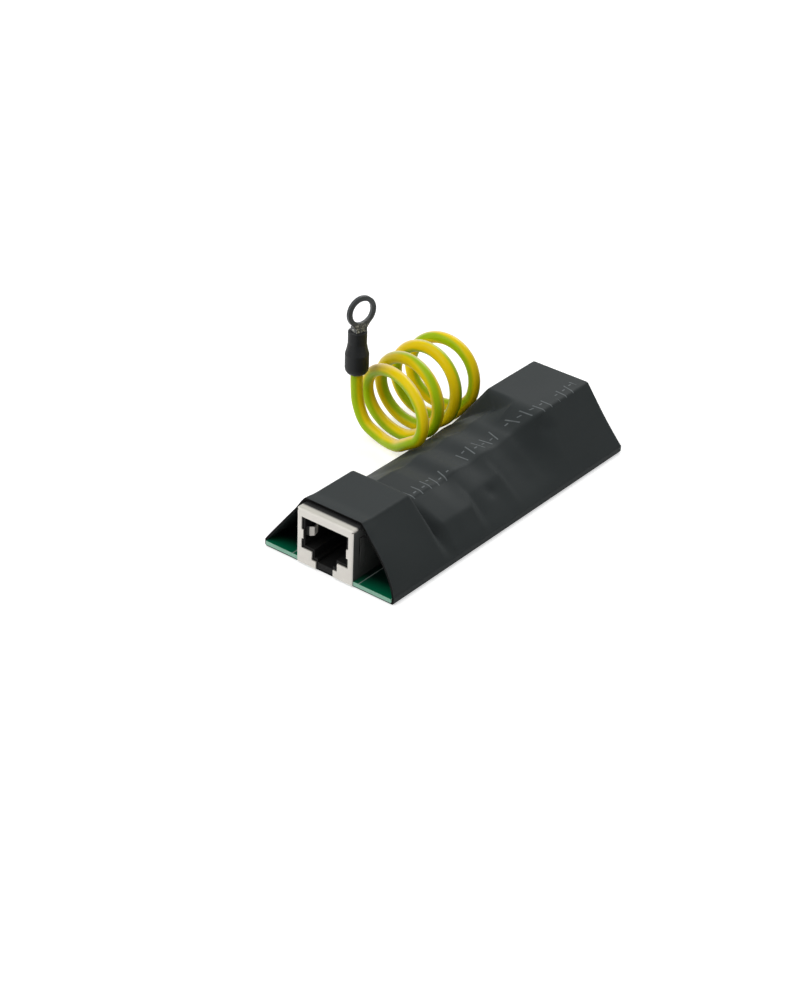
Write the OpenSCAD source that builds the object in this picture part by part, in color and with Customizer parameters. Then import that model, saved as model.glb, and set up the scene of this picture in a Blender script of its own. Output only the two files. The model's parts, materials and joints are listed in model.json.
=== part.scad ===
// Inline surge protector for a network line.
// Two shielded eight-way jacks stand back to back on a narrow board with the arresters
// between them. A shrunk sleeve holds everything, open at both ends. A coiled earth lead
// leaves through the sleeve's left slope and ends in an insulated ring terminal.
// X runs across the board, Y from the front jack to the rear jack, Z up from the surface
// that the sleeve rests on. All sizes are in millimetres.

/* [Board] */
// Width of the circuit board
board_w = 35.6; // [35:0.2:40]
// Thickness of the circuit board
board_t = 1; // [0.8:0.1:1.6]
// Play round a pin, peg or lead in its hole
hole_play = 0.1; // [0.05:0.05:0.2]
// Free length between a jack and the nearest arrester
jack_room = 6.26; // [6:0.02:9]
// Place of both jacks across the board
jack_x = -0.6; // [-1:0.1:1]

/* [Sleeve] */
// Wall of the shrunk sleeve
film_t = 0.5; // [0.3:0.05:0.7]
// Gap left between the sleeve and what it holds
film_fit = 0.05; // [0.03:0.01:0.2]
// How far the sleeve's lower edge stays behind the end of the board
film_inset = 0.4; // [0.2:0.1:1]
// How far its top edge stays behind at the front
film_set_back = 2.3; // [1:0.1:4]
// How far its top edge stays behind at the rear
rear_set_back = 0.3; // [0.1:0.1:2]
// Length over which the sleeve falls from a jack to the arresters
film_ramp = 3.6; // [2.5:0.1:4.4]
// The same at the rear on the right side, where the fall is gentle
rear_ramp = 11; // [4:0.5:12]
// How far the sleeve sinks between two arresters
film_dip = 0.7; // [0:0.1:1]
// Outward swell of the right slope at the sleeve's front opening
mouth_swell = 1.35; // [0:0.05:1.6]
// The same where the front jack ends
jack_swell = 0.5; // [0:0.1:1]
// How far the right slope sinks in beside the rear jack
rear_hollow = 0.3; // [0:0.05:0.4]
// Outward swell of the slopes beside the arresters
slope_swell = 0.15; // [0.05:0.05:0.4]
// Gap between the right slope and the front rectifier's upper edge
rect_clear = 0.15; // [0.1:0.05:0.4]
// Height of the low ledge behind that rectifier
ledge_swell = 0.7; // [0:0.1:1.2]
// Roundness of the sleeve over the arresters
film_round = 1.5; // [1:0.1:2.5]

/* [Jack shields] */
// Sheet thickness of the shield
shield_t = 0.3; // [0.2:0.05:0.35]
// Outer radius of the shield's folds
fold_r = 0.5; // [0.4:0.05:0.7]
// Gap between the shield's face plate and the edge of the board
face_gap = 0.05; // [0.03:0.01:0.2]
// Width of the plug window in the face plate
window_w = 13.2; // [12.9:0.1:13.4]
// Width of the plate beside the window
window_side = 1.35; // [1.2:0.05:1.6]
// Height of the plug window without its steps
window_h = 8; // [7.8:0.1:8.2]
// Height of the band above the window
window_band = 2.1; // [2:0.1:2.4]
// Width of the window's first step
step_w = 7.2; // [6.8:0.1:7.6]
// Height of the window's first step
step_h = 2.1; // [1.8:0.1:2.3]
// Height of the second step above the board
sill_h = 0.8; // [0.6:0.1:1.2]
// Width of the window's second step, open at the bottom
slot_w = 4.9; // [4.5:0.1:5.2]
// Width of a relief slit at the top corners of the face
slit_w = 0.25; // [0.15:0.05:0.3]
// Length of a relief slit
slit_l = 2.6; // [2:0.1:3]
// Width of a spring finger on the side plates
finger_w = 1.4; // [1.2:0.1:1.8]
// Height of a spring finger
finger_h = 7.8; // [7:0.1:8.2]
// How far a spring finger stands out of its plate
finger_out = 0.35; // [0.2:0.05:0.5]
// Height of a contact finger folded in from the side plates
inner_finger_h = 2.3; // [1.8:0.1:2.4]
// How far a tab stands into the window at its sides
tab_out = 0.5; // [0.3:0.1:0.7]
// Width of a soldering foot of the shield
foot_w = 1.5; // [1.2:0.1:1.8]

/* [Jack housings] */
// Gap between the housing and its shield
housing_gap = 0.12; // [0.05:0.01:0.15]
// How far the cavity's walls stand in from the window's sides
cavity_in = 0.7; // [0.6:0.05:0.8]
// How far the cavity's roof hangs below the window's upper edge
cavity_drop = 0.5; // [0.4:0.1:0.8]
// Depth of the plug cavity behind the housing's face
cavity_d = 12.9; // [12.5:0.1:13]
// Height of the cavity's floor above the window's lower edge
cavity_rise = 0.6; // [0.4:0.1:0.8]
// Wall between the cavity and the carrier behind it
carrier_wall = 0.5; // [0.4:0.1:0.8]
// Depth of the carrier
carrier_l = 4.1; // [3.8:0.1:4.8]
// Width of the channel for the plug's latch
latch_w = 6.3; // [6.1:0.1:6.6]
// Width of the groove below the latch channel
latch_groove_w = 4.3; // [4:0.1:4.4]
// Diameter of a locating peg
peg_d = 3; // [2.6:0.1:3.2]
// Distance between the two locating pegs
peg_gap = 11.43; // [11:0.01:11.6]

/* [Jack contacts] */
// Number of contact wires
contact_n = 8; // [2:2:8]
// Distance between contact wires
contact_pitch = 1.02; // [0.98:0.01:1.04]
// Thickness of a contact wire
contact_t = 0.36; // [0.3:0.02:0.4]
// Play of a contact wire in its slot
contact_play = 0.07; // [0.05:0.01:0.1]
// Lowest point of the wires above the cavity's floor
contact_rise = 4.5; // [4.4:0.1:4.8]

/* [Gas tubes] */
// Diameter of a gas tube
tube_d = 8; // [7.5:0.1:8.2]
// Length of a gas tube
tube_l = 10; // [9:0.1:10.4]
// Distance from one gas tube to the next
tube_pitch = 10.5; // [9.5:0.1:10.6]
// Gap between a gas tube and the board
tube_lift = 0.8; // [0.5:0.1:1]
// Width of a tube's metal rings
tube_ring = 1.2; // [1:0.1:1.6]
// Depth of the ceramic below the rings
tube_step = 0.25; // [0.1:0.05:0.4]
// Diameter of a tube's leads
tube_lead_d = 0.8; // [0.6:0.05:1]

/* [Rectifiers] */
// Thickness of a rectifier
rect_t = 3.6; // [3:0.1:3.7]
// Length of a rectifier
rect_l = 9.4; // [9:0.1:10]
// Height of a rectifier's body
rect_h = 5; // [4.4:0.1:5.2]
// Gap between a rectifier and the board
rect_lift = 0.3; // [0.2:0.1:0.5]
// Gap between the other rectifiers and the gas tubes
rect_near_gap = 0.7; // [0.5:0.1:0.8]
// How far the front right rectifier stands in from the middle of the board's free strip
rect_in = 0.4; // [0.2:0.1:0.8]
// Gap between a rectifier and the diode next to it
rect_diode_gap = 2.7; // [1:0.1:3.5]
// Size of the corner bevel that marks a rectifier's plus lead
rect_bevel = 1.2; // [0.8:0.1:1.6]
// Diameter of a rectifier's leads
rect_lead_d = 0.6; // [0.5:0.05:0.8]

/* [Clamping diodes] */
// Length of a clamping diode's body
diode_l = 4.4; // [4:0.1:4.8]
// Width of a clamping diode's body
diode_w = 3.5; // [3:0.1:3.7]
// Height of a clamping diode's body
diode_h = 2; // [1.8:0.1:2.2]
// Thickness of a diode's terminals
diode_tab_t = 0.2; // [0.15:0.05:0.3]
// How far a terminal stands out of the body
diode_tab_out = 0.4; // [0.3:0.05:0.5]
// Gap between a right diode and the gas tubes
diode_right_gap = 0.85; // [0.6:0.05:1.2]
// How far the left diodes stand out from the middle of the board's free strip
diode_out = 0.2; // [0:0.1:0.4]
// Distance of the diodes from the middle of the board
diode_y = 5.2; // [4:0.1:6]

/* [Line resistors] */
// Length of a chip resistor
chip_l = 3.2; // [3:0.1:3.4]
// Width of a chip resistor
chip_w = 1.6; // [1.4:0.1:1.8]
// Height of a chip resistor
chip_h = 0.6; // [0.5:0.05:0.8]
// Length of a chip's end cap
chip_cap = 0.5; // [0.3:0.05:0.7]
// Number of chip resistors at each end
chip_n = 4; // [2:1:4]
// Distance between chip resistors
chip_pitch = 4.8; // [3:0.1:5]

/* [Earth lead] */
// Diameter of the lead over its insulation
lead_d = 3; // [2.8:0.1:3.2]
// Diameter of the stripped conductor
core_d = 1.5; // [1.2:0.1:1.6]
// Play of the lead in its hole through the sleeve
lead_play = 0.35; // [0.3:0.05:0.5]
// How far the soldered end stands in from the middle of the board's free strip
pad_in = 0.2; // [0:0.1:0.4]
// Distance of the soldered end from the middle of the board
pad_y = 32.5; // [32:0.1:34]

/* [Ring terminal] */
// Width of the ring
ring_d = 8; // [7.6:0.1:9]
// Diameter of the ring's screw hole
ring_hole_d = 5.6; // [5.2:0.1:5.7]
// Sheet thickness of the terminal
ring_t = 0.8; // [0.6:0.05:1]
// Length of the neck between the boot and the ring
neck_l = 1.4; // [1.2:0.1:2.5]
// Width of the neck between barrel and ring
neck_w = 3; // [2.6:0.1:3.4]
// Outer diameter of the barrel
barrel_d = 3.4; // [3.2:0.1:3.8]
// Length of the barrel
barrel_l = 5.4; // [5:0.1:6]
// Bare conductor between the lead's insulation and the barrel
bare_l = 1.5; // [1:0.1:2]
// Wall of the insulating sleeve over the barrel
boot_small_t = 0.5; // [0.4:0.05:0.7]
// Wall of the insulating sleeve over the lead
boot_big_t = 1.3; // [1.1:0.05:1.5]
// Length of the insulating sleeve
boot_l = 11.4; // [11:0.1:12.5]
// Length of the insulating sleeve's wide part
boot_big_l = 5.3; // [5:0.1:5.8]
// Length over which it narrows
boot_taper = 2.7; // [1:0.1:3]

/* [Hidden] */

$fn = 48;
eps = 0.01;                    // overlap that keeps a cut clean
past = 1;                      // how far a cut runs past the face that it opens
board_z = film_t + film_fit;   // underside of the board
board_top = board_z + board_t;

// Heights in a jack, measured from the board's top, and its sizes built up from within
step_z = sill_h;
window_z = step_z + step_h;
jack_h = window_z + window_h + window_band;
jack_w = window_w + 2 * window_side;
cavity_z = window_z + cavity_rise;
cavity_h = window_h - cavity_rise - cavity_drop;
cavity_top = cavity_z + cavity_h;
cavity_w = window_w - 2 * cavity_in;
housing_y = shield_t + housing_gap;
housing_w = jack_w - 2 * housing_y;
housing_l = cavity_d + carrier_wall + carrier_l;
housing_h = jack_h - housing_y;
jack_l = housing_l + 2 * housing_y;
roof_z = (cavity_top + housing_h) / 2;   // level of the wires in the housing's roof
latch_z = 1.5;             // floor of the latch channel
latch_groove_z = 0.7;      // floor of the groove below it
peg_y = 7;
carrier_w = 10.2;
carrier_y = housing_y + cavity_d + carrier_wall;
carrier_top = roof_z - contact_t / 2 - contact_play;
wire_front_y = 2.6;
wire_end_y = 10.9;
pin_rows = [carrier_y + 0.9, carrier_y + carrier_l - 0.7];
pin_d = contact_t * sqrt(2);
comb_l = 2.2;
groove_w = contact_t + 2 * contact_play;

// Places of the parts on the board
tube_n = 4;
tube_z = board_top + tube_lift + tube_d / 2;
tube_top = tube_z + tube_d / 2;
tube_y = [for (i = [0:tube_n - 1]) (i - (tube_n - 1) / 2) * tube_pitch];
tube_lead_x = tube_l / 2 - tube_ring / 2;
strip_mid = (tube_l / 2 + board_w / 2) / 2;   // middle of the board's free strip beside the tubes
diode_reach = diode_l / 2 + diode_tab_out;
diode_right_x = tube_l / 2 + diode_right_gap + diode_w / 2;
diode_left_x = strip_mid + diode_out;
rect_far_x = strip_mid - rect_in;
rect_near_x = tube_l / 2 + rect_near_gap + rect_t / 2;
rect_y = diode_y + diode_reach + rect_diode_gap + rect_l / 2;
rect_top = board_top + rect_lift + rect_h;
pad_x = strip_mid - pad_in;
rect_at = [[rect_far_x, -rect_y], [rect_near_x, rect_y],
           [-rect_near_x, -rect_y], [-rect_near_x, rect_y]];
rect_lead_pitch = rect_l / 4;
rect_leads = [for (k = [-1.5:1:1.5]) k * rect_lead_pitch];
diode_at = [[diode_right_x, -diode_y], [diode_right_x, diode_y],
            [-diode_left_x, -diode_y], [-diode_left_x, diode_y]];

// The board's length follows from what stands on it
tubes_end = tube_y[tube_n - 1] + tube_d / 2;
jack_in = tubes_end + jack_room;     // distance of the jacks' backs from the middle of the board
face_y = jack_in + jack_l;
half_l = face_y - face_gap - shield_t;
board_l = 2 * half_l;
jack_top = board_top + jack_h;
chip_y = (jack_in + tubes_end) / 2;
foot_y = jack_l - 5;
solder_r = 0.85;
solder_h = 0.3;

// Every through lead beside the jacks: its place and its diameter
through_leads = concat(
    [for (y = tube_y) for (x = [-tube_lead_x, 0, tube_lead_x]) [x, y, tube_lead_d]],
    [for (p = rect_at) for (k = rect_leads) [p[0], p[1] + k, rect_lead_d]],
    [[-pad_x, pad_y, core_d]]);

// The earth lead's route, chosen by hand. The run goes from the board to the underside
// of the coil's last turn, and the end from the first turn up into the terminal.
strip_x = -pad_x - 1.4;    // where the insulation ends over the board
run_z = 3.4;
core_gap = 0.1;            // between an end of the insulation and the solid of its conductor
run_points = [[strip_x, pad_y, run_z], [-13.6, pad_y, 3.5], [-15, pad_y, 4], [-16.6, pad_y, 4.4],
              [-18.8, pad_y, 3.8], [-20.8, pad_y, 2.5], [-23, pad_y, 1.8], [-25.5, pad_y, 1.6]];
boot_at = [-34.2, 7.3, 17.3];
barrel_top = boot_l + 0.5;               // measured upwards from the boot's lower end
barrel_z = barrel_top - barrel_l;
strip_z = boot_at[2] + barrel_z - bare_l;   // where the insulation ends in the boot
end_points = [[-24.8, 6.6, 3.2], [-28.4, 6.7, 3.5], [-31.6, 7, 5.1], [-33.6, 7.2, 7.8],
              [-34.2, 7.3, 11.2], boot_at, [-34.2, 7.3, strip_z]];
lead_exit = [-16.4, pad_y, 4.4];
exit_reach = 3;            // how far the hole for the lead runs either way
lead_sides = 8;
path_steps = 3;

// The coil's outer shape: a hollow cone whose underside lies level. It is cut square at the
// back and askew at the front, past the end that rises into the terminal.
coil_front = [-24, 4, 11.35];
coil_l = 28;
coil_r1 = 9.8;             // radius of the lead's middle line at the front
coil_r2 = 9.7;             // and at the back
coil_yaw = 5;              // turn of the coil's axis away from the sleeve
coil_clear = 0.3;          // gap to the sleeve that the coil leans against
coil_y = [10.4, 30.6];     // where it is cut
coil_skew = 12;            // turn of the front cut
coil_flare = atan((coil_r2 - coil_r1) / coil_l);

// The terminal, measured upwards from the boot's lower end
ring_z = boot_l + neck_l + ring_d / 2;
ring_x = barrel_d / 2 - ring_t / 2;
terminal_turn = -14.7;
core_play = 0.1;
lead_bore = lead_d / 2 + core_play;
barrel_bore = barrel_d / 2 + core_play;

function mix(a, b, t) = a + (b - a) * t;
function ease(t) = let (c = min(1, max(0, t))) c * c * (3 - 2 * c);
function unit(v) = v / norm(v);

// Section of the sleeve at a distance along it. The wall follows the outline of what it
// holds: a lower corner and an upper corner at the board's edge, then a shoulder over the
// arresters or the jack. d is the distance outside that outline.
corner_steps = 2;
slope_parts = 4;           // stretches of a slope below its knee, and above it
shoulder_steps = 4;
top_steps = 4;
jack_round = fold_r;
slope_lean = 0.8;          // puts the fullest point of a swell a little below its middle

// 1 from one place to another along the sleeve, with a soft rise and fall inside them
function stretch(y, from, to, soft) = ease((y - from) / soft) * ease((to - y) / soft);

// 0 over the arresters and 1 over the jacks, reached a little before them
ramp_spare = 0.5;
function over_jack(y, side) =
    let (ramp = y > 0 && side > 0 ? rear_ramp : film_ramp)
    ease((abs(y) - jack_in + ramp) / (ramp - ramp_spare));

// 1 between two arresters and 0 over the middle of each
function between_tubes(y) =
    abs(y) > tube_y[tube_n - 1] ? 0 : 0.5 + 0.5 * cos(360 * y / tube_pitch);

function shoulder_r(y, side) = mix(film_round, jack_round, over_jack(y, side));
function shoulder_at(y, side) =
    let (low = [tube_l / 2 - film_round / 2, tube_top - film_round / 2 - film_dip * between_tubes(y)],
         high = [jack_w / 2 + side * jack_x - jack_round, jack_top - jack_round])
    mix(low, high, over_jack(y, side));
function ridge_z(y) = shoulder_at(y, 1)[1] + shoulder_r(y, 1);

// The front right rectifier pushes the slope out to a knee at its upper edge
slope_foot = [board_w / 2, board_top];
slope_line = [tube_l / 2, tube_top] - slope_foot;
rect_edge = [rect_far_x + rect_t / 2, rect_top] - slope_foot;
rect_along = rect_edge * slope_line / (slope_line * slope_line);
rect_out = cross(slope_line, rect_edge) / -norm(slope_line);
knee_soft = 1.5;
knee_past = 0.3;           // how far the knee runs on past the rectifier's ends
knee_from = -rect_y - rect_l / 2 - knee_past;
knee_to = -rect_y + rect_l / 2 + knee_past;
ledge_along = 0.64;
ledge_to = 6;
ledge_soft = 2.5;

function over_rect(y) = stretch(y, knee_from - knee_soft, knee_to + knee_soft, knee_soft);
function on_ledge(y) = stretch(y, knee_to, ledge_to, ledge_soft);
function knee_at(y, side) = side < 0 ? 0.5 : mix(ledge_along, rect_along, over_rect(y));
function knee_out(y, side) =
    side < 0 ? 0
    : (1 - over_jack(y, side)) * ((rect_out + rect_clear) * over_rect(y) + ledge_swell * on_ledge(y));
function tent(t, knee) = min(t / knee, (1 - t) / (1 - knee));

// Even swell of a slope: two low bumps on the left, and the fullest place at the opening
bump_y = [9.2, 19.8];
bump_reach = 4.5;
bump_out = 0.35;
function bump(y, mid) = ease(1 - abs(y - mid) / bump_reach);
function mouth(y) = ease((-y - jack_in) / (half_l - jack_in));
function swell(y, side) =
    let (left = bump_out * (bump(y, bump_y[0]) + bump(y, bump_y[1])),
         beside_jack = side < 0 ? 0 : y < 0 ? mix(jack_swell, mouth_swell, mouth(y)) : -rear_hollow)
    mix(slope_swell + (side < 0 ? left : 0), beside_jack, over_jack(y, side));

function arc(c, r, a, b, n) = [for (i = [0:n]) c + r * [cos(mix(a, b, i / n)), sin(mix(a, b, i / n))]];

function half_section(y, d, side) =
    let (low = [board_w / 2, board_z], edge = [board_w / 2, board_top],
         sh = shoulder_at(y, side), r = shoulder_r(y, side), v = sh - edge,
         normal = atan2(v[1], v[0]) - 90 - asin(r / norm(v)),
         n = [cos(normal), sin(normal)],
         a = edge + d * n, b = sh + (r + d) * n,
         knee = knee_at(y, side), rest = 1 - knee,
         along = concat([for (i = [1:slope_parts]) knee * i / slope_parts],
                        [for (i = [1:slope_parts - 1]) knee + rest * i / slope_parts]))
    concat([for (t = [0, 0.35, 0.7]) [t * board_w / 2, board_z - d]],
           arc(low, d, -90, 0, corner_steps),
           arc(edge, d, 0, normal, corner_steps),
           [for (t = along) mix(a, b, t)
               + (swell(y, side) * sin(180 * pow(t, slope_lean)) + knee_out(y, side) * tent(t, knee)) * n],
           arc(sh, r + d, normal, 90, shoulder_steps),
           [for (i = [1:top_steps]) let (t = i / top_steps)
               [mix(sh[0], 0, t), mix(sh[1] + r, ridge_z(y), t) + d]]);

function section(y, d) =
    let (right = half_section(y, d, 1), left = half_section(y, d, -1), n = len(right))
    concat(right, [for (i = [n - 2:-1:1]) [-left[i][0], left[i][1]]]);

// The sleeve's ends lean back towards the top, at the front more than at the rear
end_lean = 1.3;
function end_back(y, z) =
    mix(film_inset, y < 0 ? film_set_back : rear_set_back, pow(max(0, z - board_top) / jack_h, end_lean));
function station(y, z) =
    abs(y) <= jack_in ? y
    : sign(y) * mix(jack_in, half_l - end_back(y, z), (abs(y) - jack_in) / (half_l - jack_in));

front_rows = [2.6, 5.2, 7.2, 8.7, -knee_to, 12.9, 15.6, 18, -knee_from, 21.3];
rear_rows = [2.6, 5.2, 7.9, 10.5, 13.1, 15.7, 18.4, 20.6];
jack_rows = concat([for (i = [0:5]) jack_in - film_ramp * (1 - i / 5)],
                   [for (t = [0.25, 0.5, 0.75, 0.9, 1]) mix(jack_in, half_l, t)]);
front_stations = concat(front_rows, jack_rows);
stations = concat([for (i = [len(front_stations) - 1:-1:0]) -front_stations[i]], [0], rear_rows, jack_rows);

function film_grid(d) = [for (y = stations) for (p = section(y, d)) [p[0], station(y, p[1]), p[1]]];

// Triangles over a grid of points that closes round its columns
function wrap_faces(rows, cols, first, flip) =
    [for (i = [0:rows - 2]) for (j = [0:cols - 1])
        let (k = (j + 1) % cols, a = first + i * cols + j, b = first + i * cols + k,
             c = a + cols, e = b + cols)
        each (flip ? [[a, c, e], [a, e, b]] : [[a, b, e], [a, e, c]])];

// Triangles between two rings of points
function rim_faces(cols, first, other, flip) =
    [for (j = [0:cols - 1]) let (k = (j + 1) % cols)
        each (flip ? [[first + j, other + k, first + k], [first + j, other + j, other + k]]
                   : [[first + j, first + k, other + k], [first + j, other + k, other + j]])];

// A round tube swept along a path, with flat ends
function spline(p, steps) =
    let (n = len(p))
    concat([for (i = [0:n - 2]) for (s = [0:steps - 1])
        let (t = s / steps, a = p[max(0, i - 1)], b = p[i], c = p[i + 1], d = p[min(n - 1, i + 2)])
        0.5 * (2 * b + (c - a) * t + (2 * a - 5 * b + 4 * c - d) * t * t
               + (3 * b - 3 * c + d - a) * t * t * t)],
        [p[n - 1]]);
function tangent(p, i) = unit(p[min(len(p) - 1, i + 1)] - p[max(0, i - 1)]);
function flat_to(v, t) = unit(v - (v * t) * t);
function sides_of(p, i, v) =
    i == len(p) ? []
    : let (n = flat_to(v, tangent(p, i))) concat([n], sides_of(p, i + 1, n));

module swept_tube(points, steps, d, sides) {
    path = spline(points, steps);
    across = sides_of(path, 0, cross(tangent(path, 0), [0.3, 0.2, 1]));
    rings = [for (i = [0:len(path) - 1]) for (j = [0:sides - 1])
        let (t = tangent(path, i), u = across[i], w = cross(t, u), a = 360 * j / sides)
        path[i] + d / 2 * (cos(a) * u + sin(a) * w)];
    last = (len(path) - 1) * sides;
    polyhedron(rings, concat(wrap_faces(len(path), sides, 0, true),
                             [[for (j = [0:sides - 1]) j]],
                             [[for (j = [sides - 1:-1:0]) last + j]]));
}

// A strip of constant width along a bent line, with round corners
module stroke(points, w) {
    for (i = [0:len(points) - 2]) {
        v = points[i + 1] - points[i];
        translate(points[i]) rotate(atan2(v[1], v[0])) translate([0, -w / 2]) square([norm(v), w]);
    }
    for (i = [1:len(points) - 2]) translate(points[i]) circle(d = w, $fn = 16);
}

// A block with rounded upper edges and rounded upright corners, standing on y = 0
module arch_outline(w, z0, z1, r) {
    translate([-w / 2, z0]) square([w, z1 - z0 - r]);
    translate([r - w / 2, z0]) square([w - 2 * r, z1 - z0]);
    for (s = [-1, 1]) translate([s * (w / 2 - r), z1 - r]) circle(r);
}

module round_outline(w, l, r) {
    translate([-w / 2, r]) square([w, l - 2 * r]);
    translate([r - w / 2, 0]) square([w - 2 * r, l]);
    for (s = [-1, 1]) for (y = [r, l - r]) translate([s * (w / 2 - r), y]) circle(r);
}

module folded_block(w, l, z0, z1, r) {
    intersection() {
        translate([0, l, 0]) rotate([90, 0, 0]) linear_extrude(l) arch_outline(w, z0, z1, r);
        translate([-w / 2, l / 2, 0]) rotate([90, 0, 90]) linear_extrude(w) arch_outline(l, z0, z1, r);
        translate([0, 0, z0]) linear_extrude(z1 - z0) round_outline(w, l, r);
    }
}

// Puts a jack's piece at the front or, turned about, at the rear
module at_front() { translate([jack_x, -face_y, board_top]) children(); }
module at_rear() { translate([jack_x, face_y, board_top]) rotate(180) children(); }

// The stepped window in the face plate
module window_cut() {
    depth = shield_t + 2 * past;
    translate([-window_w / 2, -past, window_z]) cube([window_w, depth, window_h]);
    translate([-step_w / 2, -past, step_z]) cube([step_w, depth, step_h + eps]);
    translate([-slot_w / 2, -past, -board_t - past]) cube([slot_w, depth, step_z + board_t + past + eps]);
}

// Side finger: a strip freed on three sides that bows out of its plate
finger_y = 2.4;
finger_z = 2.6;
finger_slot = 0.25;

module side_finger() {
    x = jack_w / 2 - shield_t / 2;
    translate([0, finger_y + finger_w, 0]) rotate([90, 0, 0]) linear_extrude(finger_w)
        stroke([[x, finger_z - 0.6], [x, finger_z], [x + finger_out, finger_z + 0.6 * finger_h],
                [x + 0.1, finger_z + finger_h - finger_slot]], shield_t);
}

// Contact finger: from the side plate in through a slot in the housing, and back along the
// cavity's wall. A small tab stands in front of it at the window's side.
tab_z = window_z + 2.45;
finger_in_y = [1.3, 2, 2.6, 4.2];
finger_in_t = 0.24;
finger_room = 0.35;
finger_slot_y = 0.9;

module inner_finger() {
    x = cavity_w / 2;
    translate([0, 0, tab_z]) linear_extrude(inner_finger_h)
        stroke([[jack_w / 2 - shield_t / 2, finger_in_y[0]], [x - 0.1, finger_in_y[1]],
                [x - 0.8, finger_in_y[2]], [x - 0.4, finger_in_y[3]]], finger_in_t);
    translate([window_w / 2 - tab_out, 0, tab_z]) cube([tab_out + eps, shield_t, inner_finger_h]);
}

module jack_shield() {
    difference() {
        folded_block(jack_w, jack_l, -board_t, jack_h, fold_r);
        translate([0, shield_t, 0])
            folded_block(jack_w - 2 * shield_t, jack_l - 2 * shield_t, -board_t - past,
                         jack_h - shield_t, fold_r - shield_t);
        translate([-jack_w, shield_t, -board_t - past]) cube([2 * jack_w, jack_l, board_t + past]);
        window_cut();
        for (s = [-1, 1]) {
            translate([s * jack_w / 2 - past, finger_y - finger_slot, finger_z])
                cube([2 * past, finger_w + 2 * finger_slot, finger_h]);
            translate([s * jack_w / 2 - fold_r, -past, jack_h - fold_r - slit_w])
                cube([2 * fold_r, slit_l + past, slit_w]);
        }
    }
    for (s = [0, 1]) mirror([s, 0, 0]) {
        side_finger();
        inner_finger();
        translate([jack_w / 2 - shield_t, foot_y, -board_t]) cube([shield_t, foot_w, board_t + 0.5]);
    }
}

module housing_cuts() {
    y = housing_y;
    translate([-cavity_w / 2, y - past, cavity_z]) cube([cavity_w, past + cavity_d - comb_l, cavity_h]);
    translate([-cavity_w / 2, y - past, cavity_z]) cube([cavity_w, past + cavity_d, contact_rise]);
    translate([-latch_w / 2, y - past, latch_z])
        cube([latch_w, past + cavity_d, cavity_z - latch_z + eps]);
    translate([-latch_groove_w / 2, y - past, latch_groove_z])
        cube([latch_groove_w, past + cavity_d, latch_z - latch_groove_z + eps]);
    translate([-carrier_w / 2, carrier_y, -past])
        cube([carrier_w, carrier_l + past, housing_h + 2 * past]);
    finger_slot_l = finger_in_y[3] + finger_room - finger_slot_y;
    for (s = [0, 1]) mirror([s, 0, 0]) translate([cavity_w / 2 - eps, finger_slot_y, tab_z - finger_room])
        cube([housing_w / 2, finger_slot_l, inner_finger_h + 2 * finger_room]);
}

// Lip of the housing that hangs down before the board's edge, behind the window's open end
lip_l = 0.6;
lip_h = 0.8;
lip_w = slot_w + 0.6;
lip_room = 0.2;

// Slots for one contact wire: along the roof, down through it, and in the rear comb
module wire_slots() {
    w = groove_w;
    low = roof_z - contact_t / 2 - contact_play;
    translate([-w / 2, wire_front_y - 0.6, low]) cube([w, jack_l, housing_h]);
    translate([-w / 2, wire_front_y - 0.6, cavity_top - eps]) cube([w, 2.4, housing_h]);
    translate([-w / 2, housing_y + cavity_d - comb_l - eps, cavity_z])
        cube([w, comb_l + 2 * eps, cavity_h]);
}

module jack_housing() {
    difference() {
        union() {
            translate([-housing_w / 2, housing_y, 0]) cube([housing_w, housing_l, housing_h]);
            translate([-lip_w / 2, housing_y, -lip_h]) cube([lip_w, lip_l, lip_h + eps]);
            for (s = [-1, 1]) translate([s * peg_gap / 2, peg_y, -board_t])
                cylinder(d = peg_d, h = board_t + eps);
        }
        housing_cuts();
        for (i = [0:contact_n - 1]) translate([contact_x(i), 0, 0]) wire_slots();
    }
}

function contact_x(i) = (i - (contact_n - 1) / 2) * contact_pitch;
function pin_y(i) = pin_rows[i % 2];

module jack_carrier() {
    w = carrier_w - 2 * contact_play;
    difference() {
        translate([-w / 2, carrier_y + contact_play, 0]) cube([w, carrier_l - contact_play, carrier_top]);
        for (i = [0:contact_n - 1])
            translate([contact_x(i) - groove_w / 2, pin_y(i) - groove_w / 2, -past])
                cube([groove_w, jack_l, jack_h]);
    }
}

// One contact wire from its pin, up the carrier, along the roof and down into the cavity
module contact_wire(pin) {
    tip = cavity_z + contact_rise + contact_t / 2;
    translate([-contact_t / 2, 0, 0]) rotate([90, 0, 90]) linear_extrude(contact_t)
        stroke([[pin, -board_t], [pin, roof_z], [wire_front_y, roof_z],
                [wire_front_y - 0.3, roof_z - 0.5], [wire_front_y + 0.1, cavity_top - 0.1],
                [wire_end_y, tip]], contact_t);
}

module jack_contacts() {
    for (i = [0:contact_n - 1]) translate([contact_x(i), 0, 0]) contact_wire(pin_y(i));
}

// Holes and the notch in the board under one jack
module jack_holes() {
    translate([-lip_w / 2 - lip_room, -past, -board_t - past])
        cube([lip_w + 2 * lip_room, past + housing_y + lip_l + lip_room, board_t + 2 * past]);
    for (i = [0:contact_n - 1]) translate([contact_x(i), pin_y(i), -board_t - past])
        cylinder(d = pin_d + 2 * hole_play, h = board_t + 2 * past, $fn = 24);
    for (s = [-1, 1]) {
        translate([s * peg_gap / 2, peg_y, -board_t - past])
            cylinder(d = peg_d + 2 * hole_play, h = board_t + 2 * past);
        translate([s * (jack_w - shield_t) / 2, foot_y + foot_w / 2, -board_t / 2])
            cube([shield_t + 2 * hole_play, foot_w + 2 * hole_play, board_t + 2 * past], center = true);
    }
}

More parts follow.
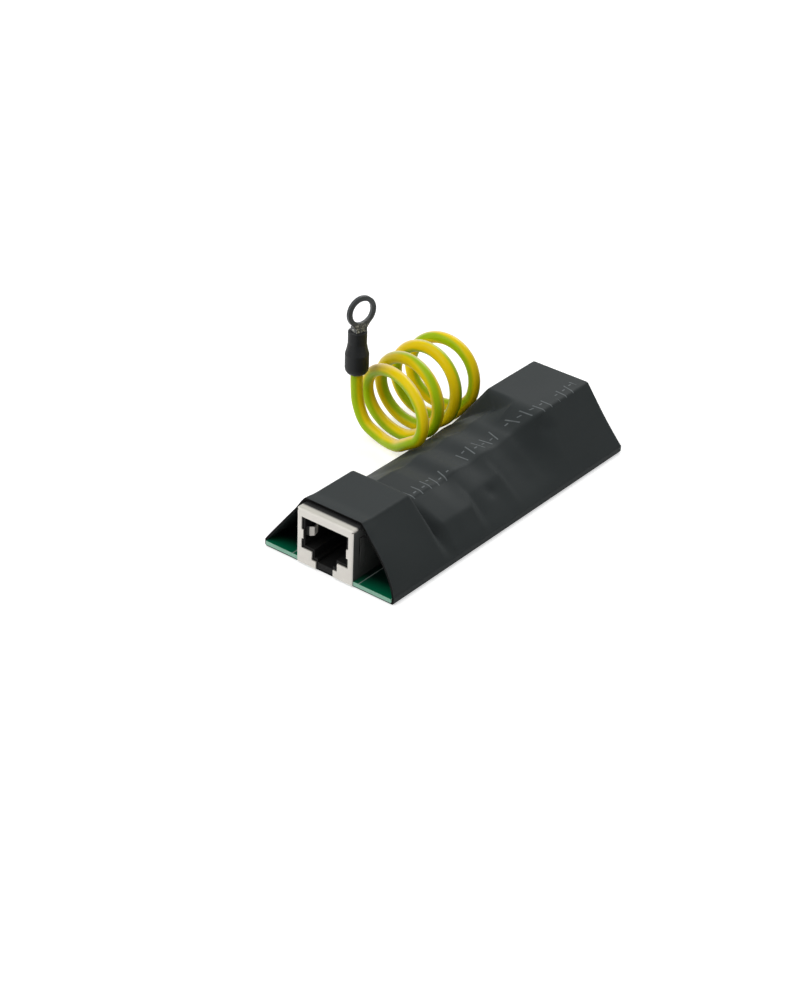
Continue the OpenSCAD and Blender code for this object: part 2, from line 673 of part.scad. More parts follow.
module heat_shrink_sleeve() {
    rows = len(stations);
    cols = len(section(0, 1));
    inner = rows * cols;
    last = (rows - 1) * cols;
    color([0.16, 0.17, 0.17]) difference() {
        polyhedron(concat(film_grid(film_fit + film_t), film_grid(film_fit)),
                   concat(wrap_faces(rows, cols, 0, false), wrap_faces(rows, cols, inner, true),
                          rim_faces(cols, 0, inner, true),
                          rim_faces(cols, last, inner + last, false)));
        translate(lead_exit - [exit_reach, 0, 0]) rotate([0, 90, 0])
            cylinder(d = lead_d + 2 * lead_play, h = 2 * exit_reach);
    }
}

module circuit_board() {
    color([0.02, 0.32, 0.2]) difference() {
        translate([-board_w / 2, -half_l, board_z]) cube([board_w, board_l, board_t]);
        at_front() jack_holes();
        at_rear() jack_holes();
        for (p = through_leads) translate([p[0], p[1], board_z - past])
            cylinder(d = p[2] + 2 * hole_play, h = board_t + 2 * past, $fn = 24);
    }
}

module front_jack_shield() { color([0.83, 0.82, 0.79]) at_front() jack_shield(); }
module front_jack_housing() { color([0.07, 0.07, 0.07]) at_front() jack_housing(); }
module front_jack_carrier() { color([0.12, 0.12, 0.12]) at_front() jack_carrier(); }
module front_jack_contacts() { color([0.85, 0.7, 0.35]) at_front() jack_contacts(); }
module rear_jack_shield() { color([0.83, 0.82, 0.79]) at_rear() jack_shield(); }
module rear_jack_housing() { color([0.07, 0.07, 0.07]) at_rear() jack_housing(); }
module rear_jack_carrier() { color([0.12, 0.12, 0.12]) at_rear() jack_carrier(); }
module rear_jack_contacts() { color([0.85, 0.7, 0.35]) at_rear() jack_contacts(); }

// Three-electrode gas tube lying across the board
module gas_tube(i) {
    r = tube_d / 2;
    rc = r - tube_step;
    e = tube_l / 2;
    bevel = 0.3;
    color([0.86, 0.85, 0.82]) translate([0, tube_y[i], 0]) {
        translate([0, 0, tube_z]) rotate([0, 90, 0]) rotate_extrude($fn = 64)
            polygon([[0, -e], [r - bevel, -e], [r, bevel - e], [r, tube_ring - e], [rc, tube_ring - e],
                     [rc, -tube_ring / 2], [r, -tube_ring / 2], [r, tube_ring / 2], [rc, tube_ring / 2],
                     [rc, e - tube_ring], [r, e - tube_ring], [r, e - bevel], [r - bevel, e], [0, e]]);
        for (x = [-tube_lead_x, 0, tube_lead_x]) translate([x, 0, board_z])
            cylinder(d = tube_lead_d, h = tube_z - r + 0.5 - board_z, $fn = 24);
    }
}

module gas_tube_1() { gas_tube(0); }
module gas_tube_2() { gas_tube(1); }
module gas_tube_3() { gas_tube(2); }
module gas_tube_4() { gas_tube(3); }

// Bridge rectifier standing on four leads in line, one upper corner bevelled
module rectifier(i) {
    z = board_top + rect_lift;
    color([0.1, 0.1, 0.11]) translate([rect_at[i][0], rect_at[i][1], 0]) {
        translate([-rect_t / 2, 0, z]) rotate([90, 0, 90]) linear_extrude(rect_t)
            polygon([[-rect_l / 2, 0], [rect_l / 2, 0], [rect_l / 2, rect_h - rect_bevel],
                     [rect_l / 2 - rect_bevel, rect_h], [-rect_l / 2, rect_h]]);
        for (k = rect_leads) translate([0, k, board_z])
            cylinder(d = rect_lead_d, h = z + 0.5 - board_z, $fn = 24);
    }
}

module rectifier_1() { rectifier(0); }
module rectifier_2() { rectifier(1); }
module rectifier_3() { rectifier(2); }
module rectifier_4() { rectifier(3); }

// Clamping diode: a moulded body on two folded terminals
module clamping_diode(i) {
    t = diode_tab_t;
    e = diode_l / 2;
    waist = diode_h * 0.55;
    draft = 0.15;
    foot = 1.1;             // how far a terminal reaches in under the body
    root = 0.5;             // and into its side
    tab_w = 0.6 * diode_w;
    color([0.15, 0.15, 0.16]) translate([diode_at[i][0], diode_at[i][1], board_top]) {
        rotate([90, 0, 90]) translate([0, 0, -diode_w / 2]) linear_extrude(diode_w)
            polygon([[draft - e, t], [e - draft, t], [e, waist],
                     [e - draft, diode_h], [draft - e, diode_h], [-e, waist]]);
        for (s = [0, 1]) mirror([0, s, 0]) translate([-tab_w / 2, 0, 0]) {
            translate([0, e - foot, 0]) cube([tab_w, diode_reach - e + foot, t]);
            translate([0, diode_reach - t, 0]) cube([tab_w, t, waist]);
            translate([0, e - root, waist - t]) cube([tab_w, diode_reach - e + root, t]);
        }
    }
}

module clamping_diode_1() { clamping_diode(0); }
module clamping_diode_2() { clamping_diode(1); }
module clamping_diode_3() { clamping_diode(2); }
module clamping_diode_4() { clamping_diode(3); }

// Chip resistors in a row before each jack: a low body between taller end caps
module line_resistors() {
    step = 0.08;
    color([0.2, 0.2, 0.22]) for (s = [-1, 1]) for (i = [0:chip_n - 1])
        translate([(i - (chip_n - 1) / 2) * chip_pitch, s * chip_y, board_top]) {
            translate([-chip_w / 2, -chip_l / 2 + chip_cap - eps, 0])
                cube([chip_w, chip_l - 2 * chip_cap + 2 * eps, chip_h - step]);
            for (e = [-chip_l / 2, chip_l / 2 - chip_cap]) translate([-chip_w / 2, e, 0])
                cube([chip_w, chip_cap, chip_h]);
        }
}

// Solder cones round the through leads on the board's top
module solder_joints() {
    color([0.72, 0.73, 0.75]) for (p = through_leads)
        translate([p[0], p[1], board_top]) difference() {
            cylinder(r1 = solder_r + (p[2] - rect_lead_d) / 2, r2 = p[2] / 2 + 0.2, h = solder_h, $fn = 24);
            translate([0, 0, -past]) cylinder(d = p[2] + 0.06, h = solder_h + 2 * past, $fn = 24);
        }
}

// The stripped conductor from the lead's end down into the board
module soldered_core() {
    color([0.8, 0.55, 0.35]) {
        translate([strip_x + core_gap, pad_y, run_z]) rotate([0, 90, 0])
            cylinder(d = core_d, h = -pad_x - strip_x - core_gap, $fn = 24);
        translate([-pad_x, pad_y, run_z]) sphere(d = core_d, $fn = 24);
        translate([-pad_x, pad_y, board_z]) cylinder(d = core_d, h = run_z - board_z, $fn = 24);
    }
}

module earth_lead_run() { color([0.85, 0.78, 0.1]) swept_tube(run_points, path_steps, lead_d, lead_sides); }
module earth_lead_end() { color([0.85, 0.78, 0.1]) swept_tube(end_points, path_steps, lead_d, lead_sides); }

// Outer shape of the wound turns, flat where they lean towards the sleeve's slope
module earth_lead_coil() {
    r = lead_d / 2;
    slope = atan2(jack_top - board_top, (board_w - jack_w) / 2 + jack_x);
    away = film_fit + film_t + slope_swell + coil_clear;
    color([0.7, 0.75, 0.1]) difference() {
        intersection() {
            translate(coil_front) rotate([coil_flare, 0, coil_yaw]) rotate([-90, 0, 0])
                rotate_extrude($fn = 96)
                    polygon([[coil_r1 - r, 0], [coil_r1 + r, 0],
                             [coil_r2 + r, coil_l], [coil_r2 - r, coil_l]]);
            translate([boot_at[0], coil_y[0], -past]) rotate(-coil_skew) translate([-board_w, 0, 0])
                cube([3 * board_w, board_l, board_w]);
            translate([-2 * board_w, 0, -past]) cube([2 * board_w, coil_y[1], board_w]);
        }
        translate([-board_w / 2, 0, board_top]) rotate([0, -slope, 0])
            translate([-board_w, 0, away - board_w]) cube([3 * board_w, board_l, board_w]);
    }
}

// The conductor's end in the terminal's barrel
module crimped_core() {
    z = strip_z + core_gap;
    color([0.8, 0.55, 0.35]) translate([boot_at[0], boot_at[1], z])
        cylinder(d = core_d, h = boot_at[2] + barrel_top - core_gap - z, $fn = 24);
}

module ring_outline() {
    flare = [0.32 * ring_d, ring_z - 0.38 * ring_d];
    neck_top = ring_z - ring_d / 2 - 0.4;
    difference() {
        union() {
            translate([0, ring_z]) circle(d = ring_d, $fn = 72);
            translate([-neck_w / 2, boot_l + 0.1])
                square([neck_w, ring_z - boot_l - (ring_d + ring_hole_d) / 4]);
            polygon([[-neck_w / 2, neck_top], [neck_w / 2, neck_top], flare, [-flare[0], flare[1]]]);
        }
        translate([0, ring_z]) circle(d = ring_hole_d, $fn = 72);
    }
}

// Crimp barrel that opens out into the flat tongue and its ring
module ring_terminal() {
    scarf = 1.8;
    color([0.45, 0.46, 0.47]) translate(boot_at) rotate(terminal_turn) {
        difference() {
            translate([0, 0, barrel_z]) cylinder(d = barrel_d, h = barrel_l + scarf);
            translate([0, 0, barrel_z - past])
                cylinder(d = core_d + 2 * core_play, h = barrel_l + scarf + 2 * past);
            translate([-barrel_d / 2, -barrel_d, barrel_top]) rotate([0, -35, 0])
                translate([-barrel_d, 0, 0]) cube([3 * barrel_d, 2 * barrel_d, barrel_d]);
        }
        translate([ring_x - ring_t / 2, 0, 0]) rotate([90, 0, 90]) linear_extrude(ring_t) ring_outline();
    }
}

// Insulating boot: wide over the lead, narrow over the barrel
module terminal_boot() {
    small = barrel_bore + boot_small_t;
    big = lead_bore + boot_big_t;
    lip = 1.7;
    color([0.05, 0.05, 0.05]) translate(boot_at) rotate_extrude()
        polygon([[lead_bore, 0], [big - 1, 0], [big - 0.5, lip * 0.2], [big - 0.13, lip * 0.55],
                 [big, lip], [big, boot_big_l], [mix(big, small, 0.6), boot_big_l + boot_taper / 2],
                 [small, boot_big_l + boot_taper], [small, boot_l - 0.3], [small - 0.3, boot_l],
                 [barrel_bore, boot_l], [barrel_bore, barrel_z], [lead_bore, barrel_z - 0.3]]);
}

heat_shrink_sleeve();
circuit_board();
front_jack_shield();
front_jack_housing();
front_jack_carrier();
front_jack_contacts();
rear_jack_shield();
rear_jack_housing();
rear_jack_carrier();
rear_jack_contacts();
gas_tube_1();
gas_tube_2();
gas_tube_3();
gas_tube_4();
rectifier_1();
rectifier_2();
rectifier_3();
rectifier_4();
clamping_diode_1();
clamping_diode_2();
clamping_diode_3();
clamping_diode_4();
line_resistors();
solder_joints();
soldered_core();
earth_lead_run();
earth_lead_coil();
earth_lead_end();
crimped_core();
ring_terminal();
terminal_boot();
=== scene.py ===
# Looks of the inline surge protector: camera and earth lead first, then the sleeve,
# the printed marks, the board's print, the materials and the studio.
import json
import math

import bpy
from mathutils import Matrix, Vector


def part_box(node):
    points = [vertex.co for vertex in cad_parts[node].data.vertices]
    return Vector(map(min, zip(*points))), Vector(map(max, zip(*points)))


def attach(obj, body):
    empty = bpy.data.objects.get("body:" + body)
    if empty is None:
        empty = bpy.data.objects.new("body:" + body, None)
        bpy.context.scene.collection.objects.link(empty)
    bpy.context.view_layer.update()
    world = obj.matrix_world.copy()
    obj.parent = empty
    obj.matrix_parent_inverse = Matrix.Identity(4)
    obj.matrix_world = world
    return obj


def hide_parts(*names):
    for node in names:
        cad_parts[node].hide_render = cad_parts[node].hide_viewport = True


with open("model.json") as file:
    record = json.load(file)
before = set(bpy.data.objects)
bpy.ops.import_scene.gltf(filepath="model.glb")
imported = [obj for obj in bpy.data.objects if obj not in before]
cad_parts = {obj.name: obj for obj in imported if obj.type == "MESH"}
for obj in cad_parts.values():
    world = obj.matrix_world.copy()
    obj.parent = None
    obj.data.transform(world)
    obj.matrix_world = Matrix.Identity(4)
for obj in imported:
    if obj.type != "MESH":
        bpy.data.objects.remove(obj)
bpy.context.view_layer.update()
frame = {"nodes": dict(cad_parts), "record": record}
cadNodes = frame["nodes"]
mm = 0.001
scene = bpy.context.scene


# shared helpers
def metres(points):
    return [Vector(p) * mm for p in points]


def linkedObject(name, data):
    thing = bpy.data.objects.new(name, data)
    scene.collection.objects.link(thing)
    return thing


def addNode(tree, kind, inputs=None, **settings):
    node = tree.nodes.new(kind)
    for key, value in settings.items():
        setattr(node, key, value)
    for key, value in (inputs or {}).items():
        socket = node.inputs[key]
        if isinstance(value, bpy.types.NodeSocket):
            tree.links.new(value, socket)
        else:
            socket.default_value = value
    return node


def mathNode(tree, operation, *values, clamp=False):
    return addNode(tree, "ShaderNodeMath", dict(enumerate(values)),
                   operation=operation, use_clamp=clamp).outputs[0]


def vectorMath(tree, operation, *values, result="Vector"):
    node = addNode(tree, "ShaderNodeVectorMath", dict(enumerate(values)), operation=operation)
    return node.outputs[result]


def groupSocket(tree, name, kind, output=False, default=None):
    socket = tree.interface.new_socket(name, in_out="OUTPUT" if output else "INPUT",
                                       socket_type="NodeSocket" + kind)
    if default is not None:
        socket.default_value = default
    return socket


def applyGeometryTree(target, tree, values):
    # values are set by each socket's identifier, then the result becomes a plain mesh
    modifier = target.modifiers.new("nodes", "NODES")
    modifier.node_group = tree
    for socket in tree.interface.items_tree:
        if socket.in_out == "INPUT" and socket.name in values:
            modifier[socket.identifier] = values[socket.name]
    return bakedMesh(target)


def bakedMesh(target):
    graph = bpy.context.evaluated_depsgraph_get()
    graph.update()
    mesh = bpy.data.meshes.new_from_object(target.evaluated_get(graph))
    target.modifiers.clear()
    mesh.name = target.name
    target.data = mesh
    return target


def lerp(a, b, t):
    return a + (b - a) * t


def ease(t):
    c = min(1.0, max(0.0, t))
    return c * c * (3 - 2 * c)


# camera
cameraValues = {
    "lookAt": (-10.0, -8.45, -1.02),   # mm
    "distance": 561.3,
    "azimuth": 37.563,                 # degrees, from -Y towards +X
    "elevation": 31.457,
    "roll": 2.041,
    "lens": 87.33,
    "sensorHeight": 36.0,
}


def makeCamera(v):
    azimuth, elevation, roll = (math.radians(v[k]) for k in ("azimuth", "elevation", "roll"))
    back = Vector((math.sin(azimuth) * math.cos(elevation),
                   -math.cos(azimuth) * math.cos(elevation), math.sin(elevation)))
    level = Vector((math.cos(azimuth), math.sin(azimuth), 0))
    right = level * math.cos(roll) + back.cross(level) * math.sin(roll)
    up = back.cross(right)
    camera = linkedObject("camera", bpy.data.cameras.new("camera"))
    camera.data.lens = v["lens"]
    camera.data.sensor_fit = "VERTICAL"
    camera.data.sensor_height = v["sensorHeight"]
    camera.data.clip_start = 0.01
    place = Matrix((right, up, back)).transposed().to_4x4()
    place.translation = (Vector(v["lookAt"]) + back * v["distance"]) * mm
    camera.matrix_world = place
    scene.camera = camera


makeCamera(cameraValues)
print("camera placed")


# earth lead: from the board through the sleeve, round the coil, up into the terminal
leadValues = {
    "diameter": 3.0,                     # mm, over the insulation
    "sides": 28,
    "stepLength": 0.8,
    "exit": (-16.4, 32.5, 4.4),          # hole in the sleeve
    "runPoints": [(-12.6, 32.5, 3.4), (-13.6, 32.5, 3.5), (-15, 32.5, 4), (-16.6, 32.5, 4.4),
                  (-18.8, 32.5, 3.8), (-20.8, 32.5, 2.5)],
    "endPoints": [(-29.66, 6.8, 4.5), (-31.66, 7, 6.1), (-32.82, 7.15, 8), (-33.65, 7.25, 10.2),
                  (-34, 7.3, 12.8), (-34.2, 7.3, 17.3), (-34.2, 7.3, 22.3)],
    "endAngles": (250, 230, 212, 198, 188, 180, 180),
    # each line gives a value at the coil's middle and how it changes from turn to turn
    "turns": {
        "x": (-24.931, -0.689, -0.121),
        "y": (19.205, 7.364, 0.4, -0.098),
        "z": (11.283, -0.26, -0.309),
        "wide": (10.227, -0.77, 0.317),
        "high": (9.628, 0.226, -0.5),
        "skew": (0.257, -0.748),
        "leanAcross": (-0.18, 1.71, -0.395),
        "leanUp": (0.016, 0.536, 0.382),
    },
    "middleTurn": 2.75,
    "firstAngle": 270,                   # at the front, on its way up to the terminal
    "lastAngle": 1710,                   # on the table, at the back
    "angleStep": 15,
    # direction of the green stripes, from the coil's front towards its outside
    "stripeTurn": ((180, -6), (225, -4), (270, 0), (360, -12), (450, -25), (540, -27), (630, 10),
                   (720, 37), (750, 37), (810, 95), (1080, 112), (1260, 135), (1440, 168),
                   (1530, 195), (1590, 250), (1710, 290)),
    "slopeGap": 0.3,                     # kept between the coil and the sleeve
    "slopeFoot": (-17.8, 0, 1.55),       # the board's left upper edge, where the slope begins
    "slopeChange": (22.4, 25.5),         # y at which the slope turns from valley to jack
    "valleyNormal": 55.5,                # degrees above level, of the slope's normal
    "jackNormal": 35.4,
    "valleySkin": 1.09,                  # film, swell and wrinkles outside the straight slope
    "jackSkin": 0.65,
    "softStart": 0.2,
    "tableGap": 0.05,
}


def polynomial(factors, n):
    return sum(factor * n ** i for i, factor in enumerate(factors))


def coilPoint(v, angle):
    along, up = math.cos(math.radians(angle)), math.sin(math.radians(angle))
    turn = angle / 360 - v["middleTurn"]
    now = {key: polynomial(factors, turn) for key, factors in v["turns"].items()}
    return Vector((now["x"] + now["wide"] * along + now["skew"] * up,
                   now["y"] + now["leanAcross"] * along + now["leanUp"] * up,
                   now["z"] + now["high"] * up))


def stripeSide(v, angle):
    for (a, low), (b, high) in zip(v["stripeTurn"], v["stripeTurn"][1:]):
        if a <= angle <= b:
            turned = math.radians(lerp(low, high, (angle - a) / (b - a)))
    outward = Vector((math.cos(math.radians(angle)), 0, math.sin(math.radians(angle))))
    return Vector((0, -1, 0)) * math.cos(turned) + outward * math.sin(turned)


def pushedOff(v, point):
    # keeps the coil on the table and clear of the left slope, which is steeper beside the jack
    beside = ease((abs(point.y) - v["slopeChange"][0]) / (v["slopeChange"][1] - v["slopeChange"][0]))
    turned = math.radians(lerp(v["valleyNormal"], v["jackNormal"], beside))
    normal = Vector((-math.cos(turned), 0, math.sin(turned)))
    need = v["diameter"] / 2 + lerp(v["valleySkin"], v["jackSkin"], beside) + v["slopeGap"]
    short = need - (point - Vector(v["slopeFoot"])).dot(normal)
    moved = point + normal * 0.5 * (short + math.sqrt(short * short + v["softStart"] ** 2))
    moved.z = max(moved.z, v["diameter"] / 2 + v["tableGap"])
    return moved


def leadPath(v):
    points = [Vector(p) for p in v["runPoints"]]
    sides = [stripeSide(v, v["lastAngle"])] * len(points)
    angle = v["lastAngle"]
    while angle >= v["firstAngle"]:
        points.append(pushedOff(v, coilPoint(v, angle)))
        sides.append(stripeSide(v, angle))
        angle -= v["angleStep"]
    points += [Vector(p) for p in v["endPoints"]]
    sides += [stripeSide(v, a) for a in v["endAngles"]]
    return points, sides


def smoothPath(points, sides, step):
    # Catmull-Rom through the points, then even steps
    fine, fineSides, last = [], [], len(points) - 1
    for i in range(last):
        a, b, c, d = (points[max(0, i - 1)], points[i], points[i + 1], points[min(last, i + 2)])
        for k in range(8):
            t = k / 8
            fine.append(0.5 * (2 * b + (c - a) * t + (2 * a - 5 * b + 4 * c - d) * t * t
                               + (3 * b - 3 * c + d - a) * t ** 3))
            fineSides.append(sides[i].lerp(sides[i + 1], t).normalized())
    fine.append(points[-1])
    fineSides.append(sides[-1])
    lengths = [0.0]
    for a, b in zip(fine, fine[1:]):
        lengths.append(lengths[-1] + (b - a).length)
    count = round(lengths[-1] / step)
    even, evenSides, j = [], [], 0
    for i in range(count + 1):
        target = lengths[-1] * i / count
        while j < len(lengths) - 2 and lengths[j + 1] < target:
            j += 1
        t = (target - lengths[j]) / (lengths[j + 1] - lengths[j])
        even.append(fine[j].lerp(fine[j + 1], t))
        evenSides.append(fineSides[j].lerp(fineSides[j + 1], t).normalized())
    return even, evenSides, lengths[-1]


def leadTree():
    tree = bpy.data.node_groups.new("leadAlongPath", "GeometryNodeTree")
    groupSocket(tree, "Path", "Geometry")
    groupSocket(tree, "Radius", "Float", default=0.0015)
    groupSocket(tree, "Sides", "Int", default=24)
    groupSocket(tree, "Finish", "Material")
    groupSocket(tree, "Lead", "Geometry", output=True)
    start = addNode(tree, "NodeGroupInput")
    side = addNode(tree, "GeometryNodeInputNamedAttribute", {"Name": "stripeSide"}, data_type="FLOAT_VECTOR")
    curve = addNode(tree, "GeometryNodeMeshToCurve", {"Mesh": start.outputs["Path"]})
    turned = addNode(tree, "GeometryNodeSetCurveNormal",
                     {"Curve": curve.outputs[0], "Normal": side.outputs[0]}, mode="FREE")
    ring = addNode(tree, "GeometryNodeCurvePrimitiveCircle",
                   {"Resolution": start.outputs["Sides"], "Radius": start.outputs["Radius"]})
    tube = addNode(tree, "GeometryNodeCurveToMesh",
                   {"Curve": turned.outputs[0], "Profile Curve": ring.outputs[0], "Fill Caps": True})
    normal = addNode(tree, "GeometryNodeInputNormal")
    towards = vectorMath(tree, "DOT_PRODUCT", normal.outputs[0], side.outputs[0], result="Value")
    facing = mathNode(tree, "ABSOLUTE", towards)
    stored = addNode(tree, "GeometryNodeStoreNamedAttribute",
                     {"Geometry": tube.outputs[0], "Name": "greenFacing", "Value": facing},
                     data_type="FLOAT", domain="POINT")
    smooth = addNode(tree, "GeometryNodeSetShadeSmooth", {"Geometry": stored.outputs[0]})
    real = addNode(tree, "GeometryNodeRealizeInstances", {"Geometry": smooth.outputs[0]})
    finish = addNode(tree, "GeometryNodeSetMaterial",
                     {"Geometry": real.outputs[0], "Material": start.outputs["Finish"]})
    end = addNode(tree, "NodeGroupOutput")
    tree.links.new(finish.outputs[0], end.inputs["Lead"])
    return tree


def makeLead(v, finish):
    points, sides, length = smoothPath(*leadPath(v), v["stepLength"])
    mesh = bpy.data.meshes.new("earthLead")
    path = metres(points)
    mesh.from_pydata(path, [(i, i + 1) for i in range(len(path) - 1)], [])
    attribute = mesh.attributes.new("stripeSide", "FLOAT_VECTOR", "POINT")
    attribute.data.foreach_set("vector", [c for s in sides for c in s])
    lead = linkedObject("earthLead", mesh)
    applyGeometryTree(lead, leadTree(), {"Radius": v["diameter"] / 2 * mm, "Sides": v["sides"],
                                         "Finish": finish})
    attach(lead, "root")
    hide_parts("earth_lead_run", "earth_lead_coil", "earth_lead_end")
    print("earth lead", round(length), "mm")
    return lead


# sleeve: the film follows a lower corner and an upper corner at the board's edge, then a
# shoulder over the arresters or over the jack
board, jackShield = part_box("circuit_board"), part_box("front_jack_shield")
tubes = [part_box(f"gas_tube_{i}") for i in (1, 2, 3, 4)]
sleeveValues = {
    "filmThickness": 0.5,     # mm
    "filmFit": 0.05,
    "inset": 0.4,             # of the lower edge behind the board's end
    "frontSetBack": 2.3,      # of the top edge
    "rearSetBack": 0.3,
    "endLean": 1.3,
    "ramp": 3.6,              # from a jack down to the arresters
    "rearRamp": 11.0,
    "rampSpare": 0.5,
    "dip": 0.7,               # between two arresters
    "tubeRound": 1.5,
    "jackRound": 0.5,
    "jackWidth": 15.9,
    "jackPlace": -0.6,
    "tubeLength": 10.0,
    "mouthSwell": 1.35,
    "jackSwell": 0.5,
    "rearHollow": 0.3,
    "slopeSwell": 0.15,
    "bumps": (9.2, 19.8),     # y of two low bumps on the left slope
    "bumpReach": 4.5,
    "bumpOut": 0.35,
    "rectifierClear": 0.15,
    "kneeSoft": 3.0,
    "kneePast": 0.3,
    "kneeRound": 0.12,
    "ledgeOut": 0.7,
    "ledgeAlong": 0.64,
    "ledgeEnd": 6.0,
    "ledgeSoft": 2.5,
    "slopeLean": 0.8,
    # shallow dents in the right slope: y, share of the way up, radius, depth
    "dents": ((-22.6, 0.42, 1.6, 0.35), (-1.2, 0.5, 1.7, 0.4), (24.2, 0.8, 2.2, 0.45)),
    "mouthLift": 0.35,        # of the top edge off the front jack
    "mouthLiftReach": 5.0,
    "rows": 230,
    "slopeColumns": 36,
    "topColumns": 14,
    "leadHole": 3.7,
    # the line of printed strokes: x of its middle along the sleeve
    "printLine": ((-45, 4.0), (-7, 4.0), (2, 2.4), (15, 2.2), (19, 3.0), (26, 6.1), (45, 5.9)),
}
boardEdge = board[1].x / mm
boardLow, boardHigh = board[0].z / mm, board[1].z / mm
boardEnd = board[1].y / mm
jackIn = -jackShield[1].y / mm
jackTop = jackShield[1].z / mm
tubeTop = tubes[0][1].z / mm
tubeMiddles = [(low.y + high.y) / 2 / mm for low, high in tubes]
tubePitch = tubeMiddles[1] - tubeMiddles[0]
rectifier = [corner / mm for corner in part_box("rectifier_1")]


def stretch(y, start, end, soft):
    return ease((y - start) / soft) * ease((end - y) / soft)


def along(knots, y):
    for (a, low), (b, high) in zip(knots, knots[1:]):
        if a <= y <= b:
            return lerp(low, high, ease((y - a) / (b - a)))


def overJack(v, y, side):
    ramp = v["rearRamp"] if y > 0 and side > 0 else v["ramp"]
    return ease((abs(y) - jackIn + ramp) / (ramp - v["rampSpare"]))


def betweenTubes(y):
    return 0 if abs(y) > tubeMiddles[-1] else 0.5 + 0.5 * math.cos(2 * math.pi * y / tubePitch)


def shoulderAt(v, y, side):
    over = overJack(v, y, side)
    low = Vector((v["tubeLength"] / 2 - v["tubeRound"] / 2,
                  tubeTop - v["tubeRound"] / 2 - v["dip"] * betweenTubes(y)))
    high = Vector((v["jackWidth"] / 2 + side * v["jackPlace"] - v["jackRound"], jackTop - v["jackRound"]))
    return low.lerp(high, over), lerp(v["tubeRound"], v["jackRound"], over)


def ridgeHeight(v, y):
    shoulder, radius = shoulderAt(v, y, 1)
    return shoulder.y + radius


def kneeValues(v, y, side):
    # the front right rectifier pushes the slope out to a knee, and a low ledge follows it
    if side < 0:
        return 0.5, 0.0
    foot = Vector((boardEdge, boardHigh))
    line = Vector((v["tubeLength"] / 2, tubeTop)) - foot
    edge = Vector((rectifier[1].x, rectifier[1].z)) - foot
    rectAlong = edge.dot(line) / line.length_squared
    rectOut = (line.y * edge.x - line.x * edge.y) / line.length
    start, end = rectifier[0].y - v["kneePast"], rectifier[1].y + v["kneePast"]
    overRect = stretch(y, start - v["kneeSoft"], end + v["kneeSoft"], v["kneeSoft"])
    ledge = v["ledgeOut"] * stretch(y, end, v["ledgeEnd"], v["ledgeSoft"])
    out = (1 - overJack(v, y, side)) * ((rectOut + v["rectifierClear"]) * overRect + ledge)
    return lerp(v["ledgeAlong"], rectAlong, overRect), out


def tent(v, t, knee):
    up, down = t / knee, (1 - t) / (1 - knee)
    near = max(v["kneeRound"] - abs(up - down), 0) / v["kneeRound"]
    return min(up, down) - near * near * v["kneeRound"] / 4


def swell(v, y, side):
    mouth = ease((-y - jackIn) / (boardEnd - jackIn))
    bumps = sum(ease(1 - abs(y - middle) / v["bumpReach"]) for middle in v["bumps"]) if side < 0 else 0
    if side < 0:
        beside = 0
    elif y < 0:
        beside = lerp(v["jackSwell"], v["mouthSwell"], mouth)
    else:
        beside = -v["rearHollow"]
    return lerp(v["slopeSwell"] + v["bumpOut"] * bumps, beside, overJack(v, y, side))


def dentDepth(v, y, t, side, length):
    depth = 0
    if side > 0:
        for place, share, radius, withPaintedShade in v["dents"]:
            away = math.hypot(y - place, (t - share) * length) / radius
            depth += withPaintedShade * math.exp(-away * away)
    return depth


def arcPoints(centre, radius, first, last, steps):
    angles = [math.radians(lerp(first, last, i / steps)) for i in range(steps + 1)]
    return [centre + radius * Vector((math.cos(a), math.sin(a))) for a in angles]


def halfSection(v, y, outside, side):
    low, edge = Vector((boardEdge, boardLow)), Vector((boardEdge, boardHigh))
    shoulder, radius = shoulderAt(v, y, side)
    rise = shoulder - edge
    turned = math.atan2(rise.y, rise.x) - math.pi / 2 - math.asin(radius / rise.length)
    normal = Vector((math.cos(turned), math.sin(turned)))
    first, last = edge + outside * normal, shoulder + (radius + outside) * normal
    length = (last - first).length
    knee, kneeOut = kneeValues(v, y, side)
    points = [Vector((t * boardEdge, boardLow - outside)) for t in (0, 0.2, 0.4, 0.6, 0.8, 0.95)]
    points += arcPoints(low, outside, -90, 0, 5)
    points += arcPoints(edge, outside, 0, math.degrees(turned), 5)
    for i in range(1, v["slopeColumns"]):
        t = i / v["slopeColumns"]
        out = (swell(v, y, side) * math.sin(math.pi * t ** v["slopeLean"]) + kneeOut * tent(v, t, knee)
               - dentDepth(v, y, t, side, length))
        points.append(first.lerp(last, t) + out * normal)
    points += arcPoints(shoulder, radius + outside, math.degrees(turned), 90, 8)
    top = points[-1].copy()
    for i in range(1, v["topColumns"] + 1):
        t = i / v["topColumns"]
        points.append(Vector((lerp(top.x, 0, t), lerp(top.y, ridgeHeight(v, y) + outside, t))))
    return points


def sleeveSection(v, y, outside):
    # points round the section, and how far each lies from its top middle, to the right
    right, left = (halfSection(v, y, outside, side) for side in (1, -1))
    aside = []
    for half in (right, left):
        lengths = [0.0]
        for a, b in zip(half[::-1], half[-2::-1]):
            lengths.append(lengths[-1] + (b - a).length)
        aside.append(lengths[::-1])
    points = right + [Vector((-p.x, p.y)) for p in reversed(left[1:-1])]
    return points, aside[0] + [-d for d in reversed(aside[1][1:-1])]


def leanedStation(v, y, z):
    # both ends lean back towards the top
    if abs(y) <= jackIn:
        return y
    share = max(0.0, z - boardHigh) / (jackTop - boardHigh)
    back = lerp(v["inset"], v["frontSetBack"] if y < 0 else v["rearSetBack"], share ** v["endLean"])
    return math.copysign(lerp(jackIn, boardEnd - back, (abs(y) - jackIn) / (boardEnd - jackIn)), y)


def mouthLift(v, y, z):
    return (v["mouthLift"] * ease(1 - (boardEnd + y) / v["mouthLiftReach"])
            * ease((z - jackTop + 2.5) / 2))


